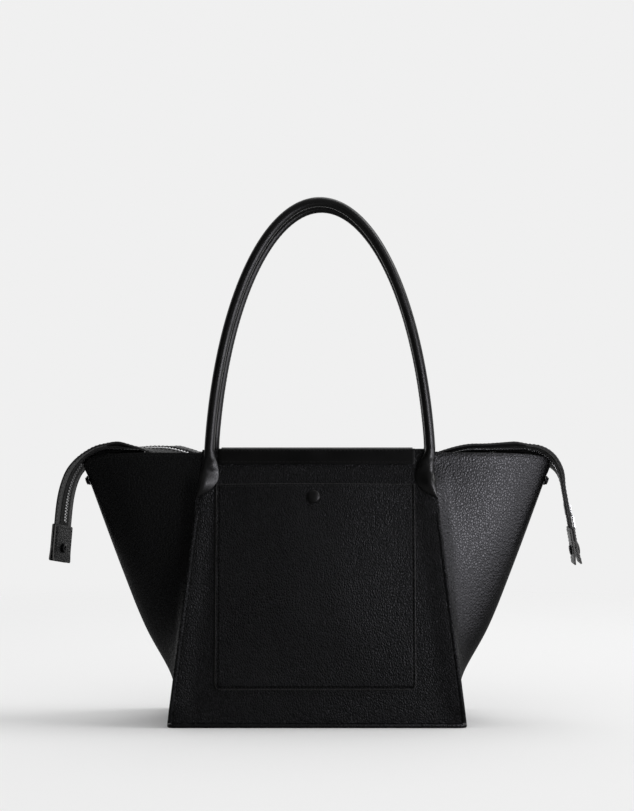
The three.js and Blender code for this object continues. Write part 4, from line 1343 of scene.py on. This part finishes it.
# The underside over the wing takes the dark edge finish as painted shade, for the shadow between ribbon and
# wing; the hanging tab is left as raw suede
def paintBridgeShade(strip):
    for face in strip.data.polygons:
        if face.material_index == 1 and abs(face.center.x) < ribbon["bridgeShadeTo"] * mm:
            face.material_index = 2


# Stitch lines on both faces of a strip; sign is -1 at the local front
def stripLines(side, sign):
    lines = []
    runs = np.linspace(3, stripEnd(side) - 15, 120)
    for inset in ribbon["threadInset"]:
        place = (ribbon["slotHalf"] + inset) * sign
        for level, flip in ((ribbon["stripTop"], 1), (ribbon["stripTop"] - ribbon["thickness"], -1)):
            line = np.array([ribbonPoint(side, run, place, level) for run in runs])
            ups = np.array([ribbonFrame(side, run)[3] * flip for run in runs])
            lines.append((line, nearestOf(line, ups)))
    return lines


def makeStrips(side):
    slotHalf, half = ribbon["slotHalf"], ribbon["half"]
    for edge, sign, inner, outer in (("front", -1, -half, -slotHalf), ("rear", 1, slotHalf, half)):
        where = worldEdge(side, edge)
        title = side + where.capitalize()
        surface = stripSurface(side, inner, outer, stripEnd(side))
        strip = layStrip(title + "Strip", surface, ribbon["stripColumns"])
        toWorld(strip, side)
        paintBridgeShade(strip)
        nodes = [side + "_" + where + "_bridge_strip", side + "_" + where + "_tab_strip"]
        settle(strip, ribbonFinishes, ribbonJoint(side), nodes, 40)
        thread = stitchRow(title + "Thread", stripLines(side, sign), ribbon["threadPitch"])
        settle(toWorld(thread, side), threadBlack, ribbonJoint(side))


chain = {
    "pitch": 3.2, "length": 1.5, "root": 2.9, "reach": 0.9, "foot": -2.7, "top": 0.35, "slit": 0.75,
    "tape": 0.55, "frontPhase": 0.25, "rearPhase": 0.75, "partsAfter": 4,
}


# One tooth along +X for its length, its root at +Y; the nose is rounded and stepped
def toothShape(root, nose):
    half = chain["length"] / 2
    low, high = chain["foot"], chain["top"]
    outline = [
        (root, low), (root, high - 0.35), (root - 0.35, high), (nose + 0.9, high),
        (nose + 0.3, high - 0.25), (nose, high - 0.75), (nose + 0.25, low + 0.35), (nose + 0.9, low)]
    corners = [(-half, y, z) for y, z in outline] + [(half, y, z) for y, z in outline]
    count = len(outline)
    faces = [(k, (k + 1) % count, (k + 1) % count + count, k + count) for k in range(count)]
    faces += [tuple(range(count - 1, -1, -1)), tuple(range(count, 2 * count))]
    return corners, faces


# A sign of -1 turns a tooth end for end, so that its root is at -Y
def facing(sign):
    return np.diag([sign, sign, 1, 1]).astype(float)


def toothRuns(first, last, phase):
    count = int((last - first - chain["length"]) / chain["pitch"])
    return [first + chain["length"] + (k + phase) * chain["pitch"] for k in range(count)]


def scatterTeeth(name, sets):
    pieces = []
    for k, (nose, matrices) in enumerate(sets):
        corners, faces = toothShape(chain["root"], nose)
        pieces.append(scatterCopies(name + str(k), corners, faces, matrices))
    piece = joinPieces(name, pieces) if len(pieces) > 1 else pieces[0]
    piece.name = name
    turnOut(piece)
    return piece


def makeChain(side):
    level = ribbonLevel + ribbon["gap"]
    endRun = stripEnd(side)
    teethEnd = ribbonLength(side) - ribbon["coverLength"] - 1
    opens = side == "right"
    meshed, parted = [], []
    for sign, phase in ((1, chain["frontPhase"]), (-1, chain["rearPhase"])):
        for run in toothRuns(0, teethEnd, phase):
            matrix = frameMatrix(*ribbonFrame(side, run)) @ facing(sign)
            (parted if opens and run > level + chain["partsAfter"] else meshed).append(matrix)
    sets = [(-chain["reach"], meshed)] + ([(chain["slit"], parted)] if parted else [])
    teeth = toWorld(scatterTeeth(side + "ZipTeeth", sets), side)

    def tapeHalfSurface(sign):
        def shape(along, across):
            run = endRun * along
            slit = chain["slit"] * smooth(run, level - 4, level + 6) if opens else 0
            edge, rim = sign * slit, sign * ribbon["tapeHalf"]
            low, high = (edge, rim) if sign > 0 else (rim, edge)
            return ribbonPoint(side, run, blendTo(low, high, across), ribbon["tapeTop"])
        return shape

    halves = []
    for sign in (-1, 1):
        half = gridPiece(side + "Tape" + str(sign), *ribbon["tapeGrid"], tapeHalfSurface(sign))
        thicken(half, chain["tape"])
        halves.append(half)
    tape = toWorld(joinPieces(side + "ZipTape", halves), side)
    tabNodes = ["left_tab_chain"] if side == "left" else ["right_front_tab_chain", "right_rear_tab_chain"]
    settle(tape, zipTape, ribbonJoint(side))
    settle(teeth, zipSilver, ribbonJoint(side), [side + "_bridge_chain"] + tabNodes)


def makeLeaf(side):
    height, half = ribbon["height"], ribbon["leafHalf"]
    top = height + ribbon["stripTop"]

    def leafSurface(along, across):
        dip = 0.25 * math.sin(math.pi * across) * math.sin(along * 19) ** 2
        y = blendTo(-ribbon["leafRoot"], -ribbon["slotHalf"], across)
        return (blendTo(-half, half, along), y, top - dip)

    def tapeSurface(along, across):
        y = blendTo(-ribbon["tapeHalf"], -ribbon["leafTapeEdge"], across)
        return (blendTo(-half, half, along), y, height + ribbon["tapeTop"])

    strip = layStrip(side + "ZipStrip", leafSurface, ribbon["leafColumns"])
    tape = gridPiece(side + "ZipLeafTape", *ribbon["leafTapeGrid"], tapeSurface)
    thicken(tape, chain["tape"])
    rows = []
    for run in toothRuns(-half, half, chain["frontPhase"]):
        rows.append(frameMatrix((run, 0, height), (1, 0, 0), (0, 1, 0), (0, 0, 1)) @ facing(-1))
    teeth = scatterTeeth(side + "ZipLeafTeeth", [(-chain["reach"], rows)])
    end = half - ribbon["leafThreadEnd"]
    lines = [([(-end, y, top), (end, y, top)], (0, 0, 1)) for y in ribbon["leafThread"]]
    thread = stitchRow(side + "ZipLeafThread", lines, ribbon["threadPitch"])
    if side == "rear":
        for piece in (strip, tape, teeth, thread):
            moveMesh(piece, toRear)
    leaf = side + "_leaf"
    settle(strip, ribbonFinishes, leaf, [side + "_zip_strip"], 40)
    settle(tape, zipTape, leaf)
    settle(teeth, zipSilver, leaf, [side + "_zip_chain"])
    settle(thread, threadBlack, leaf)


for ribbonSide in ("right", "left"):
    makeStrips(ribbonSide)
    makeChain(ribbonSide)
makeLeaf("front")
makeLeaf("rear")
print("zip ready")


# Ends of the hanging tabs: a folded cover with its snap

cover = {
    "length": ribbon["coverLength"], "half": 21.5, "layer": 1.6, "gap": 1.3,
    "grid": (26, 30), "rimAlong": (7, 0.3), "rimAcross": (5, 0.2), "endCorner": 2.2, "topCorner": 2.0,
    "edgeRound": 0.3, "pinch": 0.5, "dip": 0.3, "snapFromEnd": 15.0, "snapLift": 0.35, "threadPitch": 3.6,
    "splay": {"left": 0.2, "right": 1.1}, "slant": {"left": -0.11, "right": 0.0},
    "socket": [(2.1, 0), (2.1, 1.6), (2.5, 2.0), (4.2, 2.1), (5.0, 1.7), (5.2, 0.9), (5.2, 0)],
    "socketSides": 28,
}


def fallMatrix(side):
    return standAt(*ribbonFrame(side, ribbonLength(side)))


# Layer of the cover above (1) or below (-1) the ribbon, in the frame of the ribbon's end
def coverSurface(side, sign):
    splay, slant = cover["splay"][side], cover["slant"][side]

    def shape(along, across):
        half = cover["half"]
        x = rimSpread(along, cover["length"], *cover["rimAlong"]) - cover["length"]
        y = rimSpread(across, 2 * half, *cover["rimAcross"]) - half
        for distance, radius in ((-x, cover["endCorner"]), (cover["length"] + x, cover["topCorner"])):
            if distance < radius:
                cut = radius - math.sqrt(max(0, radius ** 2 - (radius - distance) ** 2))
                y = y * (1 - cut / half)
        out = cover["gap"] + cover["layer"] + splay * smooth(x, -20, 0) ** 1.5
        out = out - cover["pinch"] * smooth(abs(y), half - 6, half) * (1 - smooth(x, -12, 0))
        dip = cover["dip"] * math.sin(math.pi * along) * math.cos(y / half * 1.5)
        return (x + slant * y * sign, y * sign, sign * (out + dip))

    return shape


def makeCover(side):
    finishes = [ribbonLeather, cutEdge]
    layers, lines = [], []
    for sign in (1, -1):
        surface = coverSurface(side, sign)
        layer = gridPiece(side + "Cover" + str(sign), *cover["grid"], surface)
        giveFinishes(layer, finishes)
        thicken(layer, cover["layer"], material_offset_rim=1)
        roundEdges(layer, cover["edgeRound"], 60)
        layers.append(layer)
        rows = [[(0.13, v) for v in np.linspace(0.12, 0.88, 20)]]
        rows += [[(u, v) for u in np.linspace(0.13, 0.8, 20)] for v in (0.11, 0.89)]
        lines += [([surface(u, v) for u, v in row], (0, 0, sign)) for row in rows]
    fold = joinPieces(side + "TabEndCover", layers)
    thread = stitchRow(side + "CoverThread", lines, cover["threadPitch"])
    seat = cover["gap"] + cover["layer"] + cover["snapLift"]
    cap = turnedPiece(side + "TabSnapCap", capProfile(seat, snapCap["tabDome"]), snapCap["sides"])
    profile = [(radius, -seat - deep) for radius, deep in cover["socket"]]
    ring = turnedPiece(side + "TabSnapSocket", profile, cover["socketSides"])
    slide = Matrix.Translation((-cover["snapFromEnd"] * mm, 0, 0))
    place = fallMatrix(side)
    for piece, step in ((fold, Matrix()), (thread, Matrix()), (cap, slide), (ring, slide)):
        moveMesh(piece, place @ step)
        toWorld(piece, side)
    rider = side + "_tab"
    settle(fold, finishes, rider, [side + "_tab_end_cover"], 45)
    settle(thread, threadBlack, rider)
    settle(cap, capLeather, rider, [side + "_tab_snap_cap"], 60)
    settle(ring, snapMetal, rider, [side + "_tab_snap_socket"], 40)


makeCover("left")
makeCover("right")


# Slider on the right tab, and its puller

slider = {
    "place": 31, "length": 12, "front": 5.2, "back": 4.0, "shoulder": 0.2, "plate": 1.1, "plateFoot": 0.6,
    "plateRound": 0.4, "underTop": -2.2, "wedge": 0.9, "wedgeSink": 0.4, "wedgeRound": 0.15,
    "bailLength": 8, "bailHeight": 3.6, "bailWire": 0.62, "bailSides": 10,
    "ring": 4.0, "ringWire": 0.7, "ringSteps": 32, "ringSides": 12,
    "bar": (16, 6, 2), "barCorner": 1.5, "barRim": 0.9, "barSink": 0.3, "barRound": 0.25,
}


def roundSteps(count):
    return np.linspace(0, 2 * math.pi, count, endpoint=False)


# Rounded wire along a line of points
def wirePiece(name, line, radius, sides):
    line = [np.asarray(p, float) for p in line]
    rings = []
    for k, spot in enumerate(line):
        along = line[min(k + 1, len(line) - 1)] - line[max(k - 1, 0)]
        along = along / np.linalg.norm(along)
        side = np.cross(along, (0, 1, 0))
        side = side / np.linalg.norm(side)
        up = np.cross(side, along)
        rings.append([spot + radius * (side * math.cos(a) + up * math.sin(a)) for a in roundSteps(sides)])
    return skinRings(name, rings)


def sliderPlate(name, low, high):
    half, front = slider["length"] / 2, slider["front"]
    plate = blockPiece(name, (-half, -front, low), (half, front, high), 0.01, 1)
    editAll(plate)
    bpy.ops.mesh.subdivide(number_cuts=5)
    bpy.ops.object.mode_set(mode="OBJECT")
    points = cornersOf(plate)
    for point in points:
        share = point[0] / (half * mm)
        waist = blendTo(slider["back"] / front, 1, smooth(share, -1, 0.3))
        point[1] *= waist * (1 - slider["shoulder"] * smooth(share, 0.5, 1))
    setCorners(plate, points)
    roundEdges(plate, slider["plateRound"], 50, 3)
    return plate


def makeSliderBody(top):
    half, wedgeHalf, sink = slider["length"] / 2, slider["wedge"] / 2, slider["wedgeSink"]
    upper = sliderPlate("sliderUpper", slider["plateFoot"], top)
    lower = sliderPlate("sliderLower", slider["underTop"] - slider["plate"], slider["underTop"])
    wedge = blockPiece("sliderWedge", (half * 0.3, -wedgeHalf, slider["underTop"] - sink),
                       (half - 0.1, wedgeHalf, slider["plateFoot"] + sink), slider["wedgeRound"])
    arch = []
    for a in np.linspace(0, math.pi, 19):
        arch.append((-slider["bailLength"] / 2 * math.cos(a), 0,
                     top - 0.3 + (slider["bailHeight"] - 0.55) * math.sin(a)))
    bail = wirePiece("sliderBail", arch, slider["bailWire"], slider["bailSides"])
    return joinPieces("zipSlider", [upper, lower, wedge, bail])


def makePullRing(level):
    rings = []
    for a in roundSteps(slider["ringSteps"]):
        outward = np.array([-math.cos(a), math.sin(a), 0])
        spot = np.array([slider["ring"], 0, level]) + slider["ring"] * outward
        rings.append([spot + slider["ringWire"] * (outward * math.cos(b) + np.array([0, 0, math.sin(b)]))
                      for b in roundSteps(slider["ringSides"])])
    return skinRings("pullRing", rings, True)


def makePullBar(level):
    length, width, thick = slider["bar"]
    start = 2 * slider["ring"] - slider["ringWire"]
    foot = level + slider["ringWire"] / 2
    bar = cornerPlate("pullBar", length, width, foot, foot + thick, slider["barCorner"], 0)
    moveMesh(bar, Matrix.Translation(((start + length / 2) * mm, 0, 0)))
    takeUp(bar)
    bpy.context.tool_settings.mesh_select_mode = (False, False, True)
    clearMarks(bar)
    for face in bar.data.polygons:
        face.select = abs(face.normal.z) > 0.9
    bpy.ops.object.mode_set(mode="EDIT")
    bpy.ops.mesh.inset(thickness=slider["barRim"] * mm, depth=-slider["barSink"] * mm, use_individual=True)
    bpy.ops.object.mode_set(mode="OBJECT")
    bpy.context.tool_settings.mesh_select_mode = (True, False, False)
    roundEdges(bar, slider["barRound"], 40)
    return bar


def makeSlider():
    top = slider["plateFoot"] + slider["plate"]
    level = top + (slider["bailHeight"] - 1.1) / 2
    bodyPiece = makeSliderBody(top)
    puller = joinPieces("zipPuller", [makePullRing(level), makePullBar(level)])
    place = fallMatrix("right") @ Matrix.Translation(((slider["place"] - tabs["right"]["fall"]) * mm, 0, 0))
    moveMesh(bodyPiece, place)
    moveMesh(puller, place)
    settle(bodyPiece, zipSilver, "slider", ["zip_slider"], 40)
    settle(puller, zipSilver, "puller", ["zip_puller"], 40)


makeSlider()
print("tab ends ready")


# Rigid pieces kept from the CAD model, with their finish
kept = {"base_board": boardFibre, "pocket_snap_socket": snapSteel, "panel_snap_stud": snapSteel}
for node, finish in kept.items():
    cadNodes[node].data.materials.clear()
    cadNodes[node].data.materials.append(finish)
